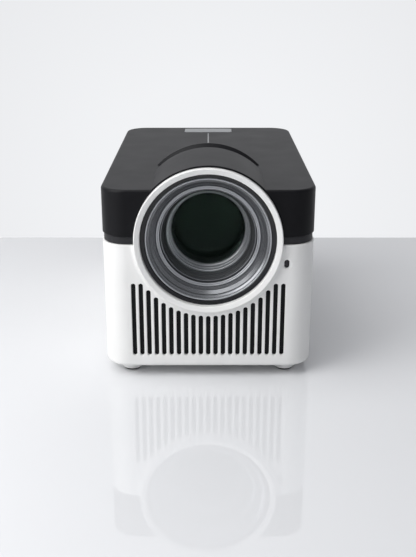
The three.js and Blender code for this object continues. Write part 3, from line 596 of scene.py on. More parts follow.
# ---------------------------------------------------------------------------------------------
# The vent screen. A thin black sheet stood behind the front vents so that nothing inside shows
# through them. Its fine holes are darker spots of colour, painted shade, with a slight dent.

screen_material, tree, shader = new_material("punched_screen")
place = tree.nodes.new("ShaderNodeTexCoord")
holes = tree.nodes.new("ShaderNodeTexVoronoi")
holes.inputs["Scale"].default_value = 1100
holes.inputs["Randomness"].default_value = 0
painted_hole_shade = tree.nodes.new("ShaderNodeValToRGB")
painted_hole_shade.color_ramp.elements[0].position = 0.3
painted_hole_shade.color_ramp.elements[0].color = (0.0015, 0.0015, 0.0015, 1)
painted_hole_shade.color_ramp.elements[1].position = 0.36
painted_hole_shade.color_ramp.elements[1].color = (0.012, 0.012, 0.013, 1)
tree.links.new(place.outputs["Object"], holes.inputs["Vector"])
tree.links.new(holes.outputs["Distance"], painted_hole_shade.inputs["Fac"])
tree.links.new(painted_hole_shade.outputs["Color"], shader.inputs["Base Color"])
dent = tree.nodes.new("ShaderNodeBump")
dent.inputs["Distance"].default_value = 0.0002
tree.links.new(painted_hole_shade.outputs["Color"], dent.inputs["Height"])
tree.links.new(dent.outputs["Normal"], shader.inputs["Normal"])
shader.inputs["Roughness"].default_value = 0.7
shader.inputs["Specular IOR Level"].default_value = 0.2


def finish_node(name, material, soft=0.0):
    """A CAD node that keeps its own shape takes a finish, and soft edges if asked."""
    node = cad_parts[name]
    node.data.materials.clear()
    node.data.materials.append(material)
    if soft:
        edge = node.modifiers.new("soft edges", "BEVEL")
        edge.width = soft
        edge.segments = 2
        edge.angle_limit = math.radians(40)
        node.modifiers.new("even shading", "WEIGHTED_NORMAL")


finish_node("vent_screen", screen_material)

# ---------------------------------------------------------------------------------------------
# The lens trim ring. A black glossy turned ring pushed in behind the white ring, which it
# separates from the grey cone.

trim_front = FRONT - LENS.y
trim_ring = turned("lens_bezel", rounded_section([
    (44.6 * MM, trim_front + 1.4 * MM, 0.3 * MM), (47.4 * MM, trim_front + 0.9 * MM, 0.25 * MM),
    (47.4 * MM, trim_front + 3.3 * MM, 0), (50.5 * MM, trim_front + 3.3 * MM, 0),
    (50.5 * MM, trim_front + 5.3 * MM, 0), (44.6 * MM, trim_front + 5.3 * MM, 0)]))
smooth(trim_ring)

# Turned lines: fine rings left by the tool, as a height and as a change of gloss.
lathe_group, lathe_in, lathe_out = new_group(
    "turned lines",
    [("Centre", "vector", (0, 0, 0)), ("Line Size", "value", 3000), ("Depth", "value", 0.00001)],
    [("Lines", "value"), ("Normal", "vector")])
nodes, link = lathe_group.nodes, lathe_group.links.new
place = nodes.new("ShaderNodeTexCoord")
away = nodes.new("ShaderNodeVectorMath")
away.operation = "SUBTRACT"
link(place.outputs["Object"], away.inputs[0])
link(lathe_in.outputs["Centre"], away.inputs[1])
across = nodes.new("ShaderNodeVectorMath")
across.operation = "MULTIPLY"
across.inputs[1].default_value = (1, 0, 1)
link(away.outputs["Vector"], across.inputs[0])
radius_node = nodes.new("ShaderNodeVectorMath")
radius_node.operation = "LENGTH"
link(across.outputs["Vector"], radius_node.inputs[0])
split = nodes.new("ShaderNodeSeparateXYZ")
link(away.outputs["Vector"], split.inputs[0])
rings = nodes.new("ShaderNodeCombineXYZ")
link(radius_node.outputs["Value"], rings.inputs["X"])
link(split.outputs["Y"], rings.inputs["Y"])
lines = nodes.new("ShaderNodeTexNoise")
lines.inputs["Detail"].default_value = 2
link(rings.outputs["Vector"], lines.inputs["Vector"])
link(lathe_in.outputs["Line Size"], lines.inputs["Scale"])
link(lines.outputs["Fac"], lathe_out.inputs["Lines"])
bump = nodes.new("ShaderNodeBump")
bump.inputs["Strength"].default_value = 0.6
link(lathe_in.outputs["Depth"], bump.inputs["Distance"])
link(lines.outputs["Fac"], bump.inputs["Height"])
link(bump.outputs["Normal"], lathe_out.inputs["Normal"])


def turned_material(name, dark, light, rough_low, rough_high, metallic=0.0, line_size=3000, depth=0.00001,
                    specular=0.5, centre=LENS):
    """A turned surface about the lens axis: rings in its colour, its gloss and its height."""
    material, tree, shader = new_material(name)
    ringed = place_group(tree, lathe_group, Centre=tuple(centre), Line_Size=line_size, Depth=depth)
    shade = tree.nodes.new("ShaderNodeMix")
    shade.data_type = "RGBA"
    shade.inputs["A"].default_value = (*dark, 1)
    shade.inputs["B"].default_value = (*light, 1)
    tree.links.new(ringed.outputs["Lines"], shade.inputs["Factor"])
    tree.links.new(shade.outputs["Result"], shader.inputs["Base Color"])
    gloss = tree.nodes.new("ShaderNodeMapRange")
    gloss.inputs["To Min"].default_value = rough_low
    gloss.inputs["To Max"].default_value = rough_high
    tree.links.new(ringed.outputs["Lines"], gloss.inputs["Value"])
    tree.links.new(gloss.outputs["Result"], shader.inputs["Roughness"])
    tree.links.new(ringed.outputs["Normal"], shader.inputs["Normal"])
    shader.inputs["Metallic"].default_value = metallic
    shader.inputs["Specular IOR Level"].default_value = specular
    return material


bezel_black = turned_material("bezel_black", (0.004, 0.004, 0.005), (0.009, 0.009, 0.011), 0.16, 0.3)
trim_ring.data.materials.append(bezel_black)
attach(trim_ring, "housing")
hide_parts("lens_trim_ring")

# ---------------------------------------------------------------------------------------------
# The lens hood. A cone of turned aluminium, anodised grey, with soft steps down to a double
# bead round the barrel. The lip and the bead take a lighter copy of the anodised grey, a painted
# highlight with much the same gloss. It is fixed, and the barrel slides in a sleeve behind the bead.


def lens_section(points):
    """A section about the lens axis, in millimetres of radius and of depth behind the front."""
    return rounded_section([(r * MM, trim_front + y * MM, rounding * MM) for r, y, rounding in points])


hood = turned("lens_cone", lens_section([
    (44.3, 1.5, 0.45), (43.2, 1.5, 0.45), (42.9, 3.1, 0.35), (41.5, 4.1, 0.3), (41.1, 5.4, 0.4),
    (38.9, 7.9, 0.4), (38.4, 9.2, 0.4), (37.4, 10.6, 0.1), (37.2, 11.7, 0.1), (37.0, 10.2, 0.55),
    (35.8, 10.4, 0.55), (35.7, 11.5, 0.1), (35.6, 10.6, 0.45), (34.6, 10.8, 0.45),
    (34.6, 26, 0), (36.2, 26, 0), (36.2, 14, 0), (44.3, 5.2, 0)]), segments=192)
smooth(hood, 50, weighted=False)
anodised = turned_material("anodised_grey", (0.15, 0.154, 0.162), (0.25, 0.257, 0.27), 0.2, 0.34, 0.8)
hood.data.materials.append(anodised)
# A lighter copy of the anodised grey: painted highlight on the lip and the beads.
highlight_grey = turned_material("painted_highlight_grey", (0.4, 0.41, 0.43), (0.56, 0.57, 0.59), 0.22, 0.34, 0.8)
hood.data.materials.append(highlight_grey)
for polygon in hood.data.polygons:
    r = math.hypot(polygon.center.x - LENS.x, polygon.center.z - LENS.z) / MM
    polygon.material_index = 1 if 34.6 < r < 37 or r > 43 else 0
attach(hood, "housing")
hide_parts("lens_hood")

# ---------------------------------------------------------------------------------------------
# The lens barrel and its glass. The barrel is turned like the hood, with a smooth inner cone
# and three fine baffle steps round the front glass. Three elements sit in its bore, held apart
# by black spacers and shut in by a blackened brass ring. All of it slides to focus.

barrel = turned("focus_barrel", lens_section([
    (34.2, 13.4, 0.2), (33.4, 13.4, 0.3), (31.6, 18.2, 0.3), (30.2, 22.4, 0.4), (30.0, 24.1, 0.3),
    (29.2, 24.9, 0.3), (29.0, 26.9, 0.3), (28.2, 27.7, 0.3), (28.0, 29.6, 0.3), (27.0, 30.6, 0.3),
    (26.6, 32, 0), (26.6, 78, 0), (28.9, 78, 0), (28.9, 34.4, 0), (34.2, 17.4, 0)]), segments=192)
smooth(barrel, 50, weighted=False)
barrel.data.materials.append(anodised)
barrel.data.materials.append(highlight_grey)
# The fine steps round the front glass take the lighter grey too: a painted highlight.
for polygon in barrel.data.polygons:
    r = math.hypot(polygon.center.x - LENS.x, polygon.center.z - LENS.z) / MM
    polygon.material_index = 1 if 26.7 < r < 30.4 and polygon.center.y < trim_front + 0.031 else 0
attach(barrel, "lens_carriage")
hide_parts("lens_barrel")

glass_material, tree, shader = new_material("coated_glass")
place = tree.nodes.new("ShaderNodeTexCoord")
film = tree.nodes.new("ShaderNodeTexNoise")
film.inputs["Scale"].default_value = 60
film.inputs["Detail"].default_value = 4
film_ramp = tree.nodes.new("ShaderNodeValToRGB")
film_ramp.color_ramp.elements[0].color = (0.5, 0.6, 0.54, 1)
film_ramp.color_ramp.elements[1].color = (0.6, 0.66, 0.6, 1)
tree.links.new(place.outputs["Object"], film.inputs["Vector"])
tree.links.new(film.outputs["Fac"], film_ramp.inputs["Fac"])
tree.links.new(film_ramp.outputs["Color"], shader.inputs["Base Color"])
film_gloss = tree.nodes.new("ShaderNodeMapRange")
film_gloss.inputs["To Min"].default_value = 0.0
film_gloss.inputs["To Max"].default_value = 0.05
tree.links.new(film.outputs["Fac"], film_gloss.inputs["Value"])
tree.links.new(film_gloss.outputs["Result"], shader.inputs["Roughness"])
shader.inputs["Transmission Weight"].default_value = 1
shader.inputs["IOR"].default_value = 1.52
shader.inputs["Specular Tint"].default_value = (0.12, 0.17, 0.15, 1)


def lens_element(name, node, radius, front, front_sag, back, back_sag, bevel=0.4, body="lens_carriage"):
    """A round element. A sag is how far a face falls back at its edge; a negative one is hollow."""
    points = []
    for i in range(17):
        r = radius * i / 16
        points.append((r * MM, trim_front + (front + front_sag * (i / 16) ** 2) * MM))
    points[-1] = ((radius - bevel) * MM, points[-1][1])
    points.append((radius * MM, trim_front + (front + front_sag + bevel) * MM))
    points.append((radius * MM, trim_front + (back - back_sag - bevel) * MM))
    for i in range(16, -1, -1):
        r = radius * i / 16 - (bevel if i == 16 else 0)
        points.append((r * MM, trim_front + (back - back_sag * (i / 16) ** 2) * MM))
    element = turned(name, points, segments=128)
    smooth(element, 30, weighted=False)
    element.data.materials.append(glass_material)
    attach(element, body)
    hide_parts(node)


GLASS_RADIUS = 26.3
lens_element("front_glass", "front_lens", GLASS_RADIUS, 25.8, 5, 45.5, 2)
lens_element("middle_glass", "middle_lens", GLASS_RADIUS, 52.3, -2, 54, -3)
lens_element("rear_glass", "rear_lens", GLASS_RADIUS, 62.6, 2, 77, 3)

baffle_black = turned_material("baffle_black", (0.004, 0.004, 0.0045), (0.02, 0.02, 0.021), 0.35, 0.6,
                               line_size=900, depth=0.0001)


def baffle_spacer(name, node, start, end, bore=22.5, step=1.3):
    """A ring between two elements, cut inside with fine steps that stop stray light."""
    points = [(GLASS_RADIUS, start), (GLASS_RADIUS, end)]
    count = max(2, round((end - start) / step))
    for i in range(count):
        outer = end - (end - start) * i / count
        inner = end - (end - start) * (i + 1) / count
        points += [(bore, outer), (bore + 0.8, inner + 0.1)]
    spacer = turned(name, [(r * MM, trim_front + y * MM) for r, y in points], segments=96)
    smooth(spacer, 20, weighted=False)
    spacer.data.materials.append(baffle_black)
    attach(spacer, "lens_carriage")
    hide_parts(node)


baffle_spacer("front_baffle", "front_spacer", 44.8, 50)
baffle_spacer("rear_baffle", "rear_spacer", 57.3, 63.7)

blackened_brass = turned_material("blackened_brass", (0.006, 0.0055, 0.005), (0.022, 0.019, 0.015),
                                  0.3, 0.5)
finish_node("retaining_ring", blackened_brass)

# ---------------------------------------------------------------------------------------------
# The top cover. One black ABS moulding with a matte eroded grain: a shallow lid with a round
# hump over the lens. The hump falls in a scoop towards a thin rim at its rear. Four posts
# inside take the screws that come up through the case.

COVER_TOP = TOP
COVER_EDGE = CASE_RIM + 5.9 * MM
COVER_ROUND = 2 * MM
HUMP_RADIUS = 53.3 * MM
HUMP_LENGTH = 82 * MM
SCOOP_START, SCOOP_END, SCOOP_DEPTH = 64 * MM, 79 * MM, 3.2 * MM
EDGE_SOFT = 0.4 * MM

loops = []
for i in range(4):
    a = math.pi / 2 * i / 3
    loops.append(case_loop(EDGE_SOFT * (1 - math.sin(a)), COVER_EDGE + EDGE_SOFT * (1 - math.cos(a)), 18))
for i in range(9):
    a = math.pi / 2 * i / 8
    loops.append(case_loop(COVER_ROUND * (1 - math.cos(a)),
                           COVER_TOP - COVER_ROUND * (1 - math.sin(a)), 18))
top_cover = lofted("black_cover", loops)

front = FRONT - LENS.y
hump_points = [(0, front, 0), (HUMP_RADIUS, front, 0.6 * MM), (HUMP_RADIUS, front + SCOOP_START, 0.8 * MM),
               (HUMP_RADIUS - SCOOP_DEPTH, front + SCOOP_END - 3 * MM, 1 * MM),
               (HUMP_RADIUS, front + SCOOP_END + 0.8 * MM, 0.8 * MM),
               (HUMP_RADIUS, front + HUMP_LENGTH, 0.6 * MM), (0, front + HUMP_LENGTH, 0)]
hump = turned("hump", rounded_section(hump_points, 6), segments=192)
combine(hump, box_object("below", (-0.1, -0.2, 0), (0.1, 0.2, COVER_EDGE + 6 * MM)), "DIFFERENCE")
combine(top_cover, hump, "UNION")

inside = HUMP_RADIUS - WALL
hollow = turned("hump hollow", [
    (0, front - 1 * MM), (52.2 * MM, front - 1 * MM), (52.2 * MM, front + 3 * MM), (inside, front + 3 * MM),
    (inside, front + SCOOP_START - 3 * MM), (inside - SCOOP_DEPTH, front + HUMP_LENGTH - WALL),
    (0, front + HUMP_LENGTH - WALL)])
combine(top_cover, hollow, "DIFFERENCE")
lid_hollow = lofted("lid hollow", [case_loop(WALL, z) for z in (0.05, COVER_TOP - WALL)])
combine(top_cover, lid_hollow, "DIFFERENCE")

key_low, key_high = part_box("power_key")
KEY = (key_low + key_high) / 2
KEY_WIDTH, KEY_DEPTH, KEY_CORNER = 43.4 * MM, 16.9 * MM, 2.4 * MM
LINE = (line_low + line_high) / 2
LINE_WIDTH, LINE_LENGTH = 1.1 * MM, line_high.y - line_low.y
CLEARANCE = 0.3 * MM


def plan_outline(centre, width, depth, radius, steps=14):
    return rounded_outline(centre.x - width / 2, centre.x + width / 2, centre.y - depth / 2,
                           centre.y + depth / 2, radius, steps)


def opening_cutter(name, centre, width, depth, radius, lip):
    """A hole down through the lid with a softly rounded edge."""
    loops = []
    rings = [(COVER_TOP - 0.01, 0)]
    rings += [(COVER_TOP - lip * math.cos(a), lip * (1 - math.cos(a)))
              for a in (math.pi / 8 * i for i in range(5))]
    rings.append((COVER_TOP + 1 * MM, lip))
    for z, spread in rings:
        outline = plan_outline(centre, width + 2 * spread, depth + 2 * spread, radius + spread)
        loops.append([(x, y, z) for x, y in outline])
    return lofted(name, loops)


combine(top_cover, opening_cutter("key hole", KEY, KEY_WIDTH + 2 * CLEARANCE, KEY_DEPTH + 2 * CLEARANCE,
                                  KEY_CORNER + CLEARANCE, 0.3 * MM), "DIFFERENCE")
line_slot = opening_cutter("line slot", LINE, LINE_WIDTH + 0.2 * MM, LINE_LENGTH + 0.2 * MM, 0.6 * MM,
                           0.1 * MM)
combine(top_cover, line_slot, "DIFFERENCE")
for corner in ("front_left", "front_right", "rear_left", "rear_right"):
    low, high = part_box(f"cover_screw_{corner}")
    x, y = (low.x + high.x) / 2, (low.y + high.y) / 2
    post = turned("post", [(0, 88.6 * MM), (4.4 * MM, 88.6 * MM), (4.4 * MM, COVER_TOP - 1 * MM),
                           (0, COVER_TOP - 1 * MM)], (x, y, 0), "Z", 40)
    combine(top_cover, post, "UNION")
    pilot = turned("pilot", [(0, 80 * MM), (1.7 * MM, 80 * MM), (1.7 * MM, 104 * MM), (0, 104 * MM)],
                   (x, y, 0), "Z", 24)
    combine(top_cover, pilot, "DIFFERENCE")
smooth(top_cover)

# A pale dusting film and specks on faces that look up: partly settled dusting, partly painted
# sheen that lightens the tops as grazing light would.
dust_and_sheen_group, dust_and_sheen_in, dust_and_sheen_out = new_group(
    "dust_and_painted_sheen",
    [("Colour", "colour", (0.02, 0.02, 0.02, 1)), ("Roughness", "value", 0.5),
     ("Dust Colour", "colour", (0.3, 0.3, 0.3, 1)), ("Amount", "value", 0.05)],
    [("Colour", "colour"), ("Roughness", "value"), ("Dust", "value")])
nodes, link = dust_and_sheen_group.nodes, dust_and_sheen_group.links.new
facing = nodes.new("ShaderNodeNewGeometry")
split = nodes.new("ShaderNodeSeparateXYZ")
link(facing.outputs["Normal"], split.inputs[0])
up = nodes.new("ShaderNodeMapRange")
up.inputs["From Min"].default_value = 0.6
up.inputs["From Max"].default_value = 0.98
link(split.outputs["Z"], up.inputs["Value"])
place = nodes.new("ShaderNodeTexCoord")
drift = nodes.new("ShaderNodeTexNoise")
drift.inputs["Scale"].default_value = 30
drift.inputs["Detail"].default_value = 8
drift.inputs["Roughness"].default_value = 0.7
link(place.outputs["Object"], drift.inputs["Vector"])
specks = nodes.new("ShaderNodeTexVoronoi")
specks.inputs["Scale"].default_value = 420
link(place.outputs["Object"], specks.inputs["Vector"])
speck_mask = nodes.new("ShaderNodeMapRange")
speck_mask.inputs["From Min"].default_value = 0.11
speck_mask.inputs["From Max"].default_value = 0.05
link(specks.outputs["Distance"], speck_mask.inputs["Value"])
film = nodes.new("ShaderNodeMath")
film.operation = "MULTIPLY_ADD"
film.inputs[1].default_value = 0.5
link(speck_mask.outputs["Result"], film.inputs[0])
link(drift.outputs["Fac"], film.inputs[2])
laid = nodes.new("ShaderNodeMath")
laid.operation = "MULTIPLY"
link(film.outputs[0], laid.inputs[0])
link(up.outputs["Result"], laid.inputs[1])
amount = nodes.new("ShaderNodeMath")
amount.operation = "MULTIPLY"
link(laid.outputs[0], amount.inputs[0])
link(dust_and_sheen_in.outputs["Amount"], amount.inputs[1])
dusted = nodes.new("ShaderNodeMix")
dusted.data_type = "RGBA"
link(amount.outputs[0], dusted.inputs["Factor"])
link(dust_and_sheen_in.outputs["Colour"], dusted.inputs["A"])
link(dust_and_sheen_in.outputs["Dust Colour"], dusted.inputs["B"])
link(dusted.outputs["Result"], dust_and_sheen_out.inputs["Colour"])
dulled = nodes.new("ShaderNodeMath")
dulled.operation = "MULTIPLY_ADD"
dulled.inputs[1].default_value = 0.8
link(amount.outputs[0], dulled.inputs[0])
link(dust_and_sheen_in.outputs["Roughness"], dulled.inputs[2])
link(dulled.outputs[0], dust_and_sheen_out.inputs["Roughness"])
link(laid.outputs[0], dust_and_sheen_out.inputs["Dust"])

black_abs, tree, shader = new_material("black_abs")
skin = place_group(tree, skin_group, Colour=(0.0028, 0.0028, 0.004, 1),
                   Cloud_Colour=(0.0045, 0.0045, 0.006, 1), Cloud_Size=24, Grain_Size=2200,
                   Grain_Depth=0.00003, Roughness=0.46, Rough_Spread=0.1)
# The pale film lightens the cover's top: partly dusting, partly painted sheen.
dust_and_sheen = place_group(tree, dust_and_sheen_group, Dust_Colour=(0.3, 0.3, 0.31, 1), Amount=0.058)
tree.links.new(skin.outputs["Colour"], dust_and_sheen.inputs["Colour"])
tree.links.new(skin.outputs["Roughness"], dust_and_sheen.inputs["Roughness"])
tree.links.new(dust_and_sheen.outputs["Colour"], shader.inputs["Base Color"])
tree.links.new(dust_and_sheen.outputs["Roughness"], shader.inputs["Roughness"])
tree.links.new(skin.outputs["Normal"], shader.inputs["Normal"])
shader.inputs["Specular IOR Level"].default_value = 0.18
top_cover.data.materials.append(black_abs)
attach(top_cover, "housing")
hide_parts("top_cover")

# ---------------------------------------------------------------------------------------------
# The power key and the status line. The key is a grey painted bar, set in the cover over its
# switch. The line is a frosted light guide let into the cover from the key to the hump.


def key_bar(name, centre, width, depth, radius, z0, z1, soft):
    """A bar with round corners and a soft upper edge."""
    loops = [[(x, y, z0) for x, y in plan_outline(centre, width, depth, radius)]]
    for i in range(7):
        a = math.pi / 2 * i / 6
        inset = soft * (1 - math.cos(a))
        outline = plan_outline(centre, width - 2 * inset, depth - 2 * inset, radius - inset)
        loops.append([(x, y, z1 - soft * (1 - math.sin(a))) for x, y in outline])
    return lofted(name, loops)


key = key_bar("grey_key", KEY, KEY_WIDTH, KEY_DEPTH, KEY_CORNER, COVER_TOP - 3.4 * MM, key_high.z, 0.5 * MM)
combine(key, key_bar("skirt", KEY, KEY_WIDTH + 3 * MM, KEY_DEPTH + 3 * MM, KEY_CORNER + 1.5 * MM,
                     COVER_TOP - 4.4 * MM, COVER_TOP - 2.7 * MM, 0.2 * MM), "UNION")
combine(key, turned("stem", [(0, key_low.z), (2.5 * MM, key_low.z), (2.5 * MM, COVER_TOP - 3 * MM),
                             (0, COVER_TOP - 3 * MM)], (KEY.x, KEY.y, 0), "Z", 32), "UNION")
smooth(key)
key_paint = skin_material("key_paint", (0.25, 0.26, 0.268), (0.28, 0.29, 0.298), 0.42, 0.12, grain=3200,
                          depth=0.00001)
key.data.materials.append(key_paint)
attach(key, "power_key")
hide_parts("power_key")

line = key_bar("light_guide", LINE, LINE_WIDTH, LINE_LENGTH, 0.5 * MM, 136 * MM, COVER_TOP, 0.15 * MM)
combine(line, box_object("tongue", (-2 * MM, line_low.y + 2 * MM, line_low.z),
                         (2 * MM, line_high.y, COVER_TOP - WALL - CLEARANCE)), "UNION")
smooth(line)
guide_material, tree, shader = new_material("frosted_guide")
skin = place_group(tree, skin_group, Colour=(0.24, 0.245, 0.25, 1), Cloud_Colour=(0.28, 0.285, 0.29, 1),
                   Cloud_Size=300, Grain_Size=5000, Grain_Depth=0.000006, Roughness=0.38, Rough_Spread=0.1)
tree.links.new(skin.outputs["Colour"], shader.inputs["Base Color"])
tree.links.new(skin.outputs["Roughness"], shader.inputs["Roughness"])
tree.links.new(skin.outputs["Normal"], shader.inputs["Normal"])
shader.inputs["Subsurface Weight"].default_value = 0.2
shader.inputs["Subsurface Scale"].default_value = 0.001
line.data.materials.append(guide_material)
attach(line, "housing")
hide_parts("status_light_line")

# ---------------------------------------------------------------------------------------------
# The sensor window. A smoked gloss pill, clipped in from behind, that lets a handset's signal
# through the front wall.


def pill(centre, width, height, y):
    outline = rounded_outline(centre.x - width / 2, centre.x + width / 2, centre.z - height / 2,
                              centre.z + height / 2, width / 2 - 1e-6, 8)
    return [(x, y, z) for x, z in outline]


loops = [pill(SENSOR, 3.2 * MM, 5.7 * MM, window_high.y - 0.6 * MM)]
for i in range(6):
    a = math.pi / 2 * i / 5
    inset = 0.5 * MM * (1 - math.cos(a))
    loops.append(pill(SENSOR, 3.2 * MM - 2 * inset, 5.7 * MM - 2 * inset,
                      window_low.y + 0.5 * MM * (1 - math.sin(a))))
window = lofted("smoked_window", loops)
combine(window, box_object("plate", (SENSOR.x - 4 * MM, FRONT + 2.7 * MM, SENSOR.z - 5 * MM),
                           (SENSOR.x + 4 * MM, window_high.y, SENSOR.z + 5 * MM)), "UNION")
smooth(window)
smoked, tree, shader = new_material("smoked_window")
skin = place_group(tree, skin_group, Colour=(0.004, 0.003, 0.005, 1), Cloud_Colour=(0.008, 0.005, 0.009, 1),
                   Cloud_Size=250, Grain_Size=900, Grain_Depth=0.000002, Roughness=0.08, Rough_Spread=0.06)
tree.links.new(skin.outputs["Colour"], shader.inputs["Base Color"])
tree.links.new(skin.outputs["Roughness"], shader.inputs["Roughness"])
tree.links.new(skin.outputs["Normal"], shader.inputs["Normal"])
window.data.materials.append(smoked)
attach(window, "housing")
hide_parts("sensor_window")

# ---------------------------------------------------------------------------------------------
# The feet. White moulded discs, each pegged into the floor of the case, with a black rubber
# pad let into its underside.

rubber, tree, shader = new_material("pad_rubber")
skin = place_group(tree, skin_group, Colour=(0.02, 0.02, 0.021, 1), Cloud_Colour=(0.035, 0.034, 0.033, 1),
                   Cloud_Size=120, Grain_Size=1600, Grain_Depth=0.00008, Roughness=0.85, Rough_Spread=0.15)
dust_and_sheen = place_group(tree, dust_and_sheen_group, Dust_Colour=(0.25, 0.24, 0.22, 1), Amount=0.1)
tree.links.new(skin.outputs["Colour"], dust_and_sheen.inputs["Colour"])
tree.links.new(skin.outputs["Roughness"], dust_and_sheen.inputs["Roughness"])
tree.links.new(dust_and_sheen.outputs["Colour"], shader.inputs["Base Color"])
tree.links.new(dust_and_sheen.outputs["Roughness"], shader.inputs["Roughness"])
tree.links.new(skin.outputs["Normal"], shader.inputs["Normal"])
shader.inputs["Specular IOR Level"].default_value = 0.3


def standing_section(points):
    return rounded_section([(r * MM, z * MM, rounding * MM) for r, z, rounding in points])


for corner in ("front_left", "front_right", "rear_left", "rear_right"):
    low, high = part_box(f"foot_{corner}")
    base = ((low.x + high.x) / 2, (low.y + high.y) / 2, 0)
    foot = turned(f"foot_disc_{corner}", standing_section([
        (0, 1.5, 0), (7.6, 1.5, 0.9), (7.6, 7.7, 0.5), (2.5, 7.7, 0.2), (2.5, 12, 0.4), (0, 12, 0)]),
        base, "Z", 64)
    smooth(foot)
    foot.data.materials.append(white_abs)
    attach(foot, "housing")
    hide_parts(f"foot_{corner}")
    pad = turned(f"rubber_pad_{corner}", standing_section([
        (0, 0.35, 0), (1.5, 0, 0.1), (2.4, 0, 0.1), (2.8, 0.3, 0.1), (3.4, 0.3, 0.1), (3.8, 0, 0.1),
        (6, 0, 0.35), (6, 1.2, 0.2), (0, 1.2, 0)]), base, "Z", 64)
    smooth(pad)
    pad.data.materials.append(rubber)
    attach(pad, "housing")
    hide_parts(f"foot_pad_{corner}")

# ---------------------------------------------------------------------------------------------
# The tripod insert and the cover screws. The insert is turned brass with a thread inside,
# pressed into the floor of the case. The four screws are zinc plated, with a cross recess in a
# pan head, and come up through the case into the cover's posts.

THREAD_PITCH = 1.27
BORE_TOP = insert_high.z / MM - 1
thread = [(3.1 + 0.45, 8.0), (4.85, 8.0), (5.0, 8.2), (5.0, 18.0), (0, 18.0), (0, BORE_TOP),
          (3.1, BORE_TOP)]
turns = int((BORE_TOP - 9) / THREAD_PITCH)
for i in range(turns):
    top = BORE_TOP - 0.3 - i * THREAD_PITCH
    thread += [(3.1, top), (3.5, top - THREAD_PITCH * 0.45), (3.1, top - THREAD_PITCH * 0.9)]
insert = turned("brass_insert", [(r * MM, z * MM) for r, z in thread], (INSERT.x, INSERT.y, 0), "Z", 96)
smooth(insert, 25, weighted=False)
insert_brass = turned_material("insert_brass", (0.55, 0.38, 0.16), (0.74, 0.55, 0.27), 0.2, 0.36, 1.0,
                               centre=INSERT)
insert.data.materials.append(insert_brass)
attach(insert, "housing")
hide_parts("tripod_insert")

zinc = skin_material("zinc_plate", (0.62, 0.63, 0.64), (0.5, 0.51, 0.53), 0.28, 0.2, grain=1500,
                     depth=0.00001, metallic=1)
RECESS_WIDTH, RECESS_LENGTH, RECESS_DEPTH = 0.7 * MM, 3.4 * MM, 1.4 * MM

for corner in ("front_left", "front_right", "rear_left", "rear_right"):
    low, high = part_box(f"cover_screw_{corner}")
    x, y = (low.x + high.x) / 2, (low.y + high.y) / 2
    head, seat = low.z / MM, 83.7
    screw_section = [(0, head, 0), (2.9, head, 1.1), (3.1, seat, 0.15), (1.4, seat, 0.1)]
    for i in range(12):
        screw_section += [(1.15, seat + 2.4 + i * 1.15, 0), (1.4, seat + 2.95 + i * 1.15, 0)]
    screw_section += [(1.1, 99.5, 0), (0, 101, 0)]
    screw = turned(f"pan_screw_{corner}", standing_section(screw_section), (x, y, 0), "Z", 48)
    for half_x, half_y in ((RECESS_LENGTH / 2, RECESS_WIDTH / 2), (RECESS_WIDTH / 2, RECESS_LENGTH / 2)):
        combine(screw, box_object("recess", (x - half_x, y - half_y, low.z - 1 * MM),
                                  (x + half_x, y + half_y, low.z + RECESS_DEPTH)), "DIFFERENCE")
    smooth(screw, 30, weighted=False)
    screw.data.materials.append(zinc)
    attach(screw, "housing")
    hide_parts(f"cover_screw_{corner}")

# ---------------------------------------------------------------------------------------------
# The rear panel. A black moulded plate that snaps into the case from inside, with an opening
# for each socket, its face just below the case's.


def face_loop(x, z, width, height, radius, y):
    outline = rounded_outline(x - width / 2, x + width / 2, z - height / 2, z + height / 2, radius, 8)
    return [(u, y, v) for u, v in outline]


def rear_block(name, x, z, width, height, radius, y0, y1, soft=0.25 * MM):
    """A block with round corners that faces the rear with a soft edge."""
    loops = []
    for i in range(5):
        a = math.pi / 2 * i / 4
        inset = soft * (1 - math.sin(a))
        loops.append(face_loop(x, z, width - 2 * inset, height - 2 * inset, radius - inset,
                               y1 - soft * (1 - math.cos(a))))
    loops.append(face_loop(x, z, width, height, radius, y0))
    return lofted(name, loops)


def rear_opening(name, x, z, width, height, radius, y0, y1, lip=0.2 * MM):
    """A hole in from the rear whose mouth flares softly."""
    loops = [face_loop(x, z, width + 2 * lip, height + 2 * lip, radius + lip, y1 + 1 * MM)]
    for i in range(4):
        a = math.pi / 2 * i / 3
        spread = lip * (1 - math.sin(a))
        loops.append(face_loop(x, z, width + 2 * spread, height + 2 * spread, radius + spread,
                               y1 - lip * (1 - math.cos(a))))
    loops.append(face_loop(x, z, width, height, radius, y0))
    return lofted(name, loops)


SOCKETS = {}
for node in ("video_socket", "upper_usb_socket", "lower_usb_socket", "audio_jack", "mains_inlet"):
    low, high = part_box(node)
    SOCKETS[node] = ((low.x + high.x) / 2, (low.z + high.z) / 2, high.x - low.x, high.z - low.z,
                     low.y, high.y)

panel = rear_block("socket_plate", PANEL.x, PANEL.z, PANEL_WIDTH, PANEL_HEIGHT, 1.7 * MM,
                   REAR - WALL - 1 * MM, panel_high.y, 0.4 * MM)
combine(panel, box_object("flange", (panel_low.x, panel_low.y, panel_low.z),
                          (panel_high.x, REAR - WALL - 0.3 * MM, PANEL.z + 37.5 * MM)), "UNION")
for x, z, width, height, y0, y1 in SOCKETS.values():
    combine(panel, rear_opening("socket hole", x, z, width + 0.5 * MM, height + 0.5 * MM, 1 * MM,
                                panel_low.y - 1 * MM, panel_high.y), "DIFFERENCE")
smooth(panel)
panel_black = skin_material("panel_black", (0.014, 0.014, 0.015), (0.021, 0.021, 0.023), 0.5, 0.12,
                            grain=1900, depth=0.00005, specular=0.4)
panel.data.materials.append(panel_black)
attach(panel, "housing")
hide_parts("rear_panel")

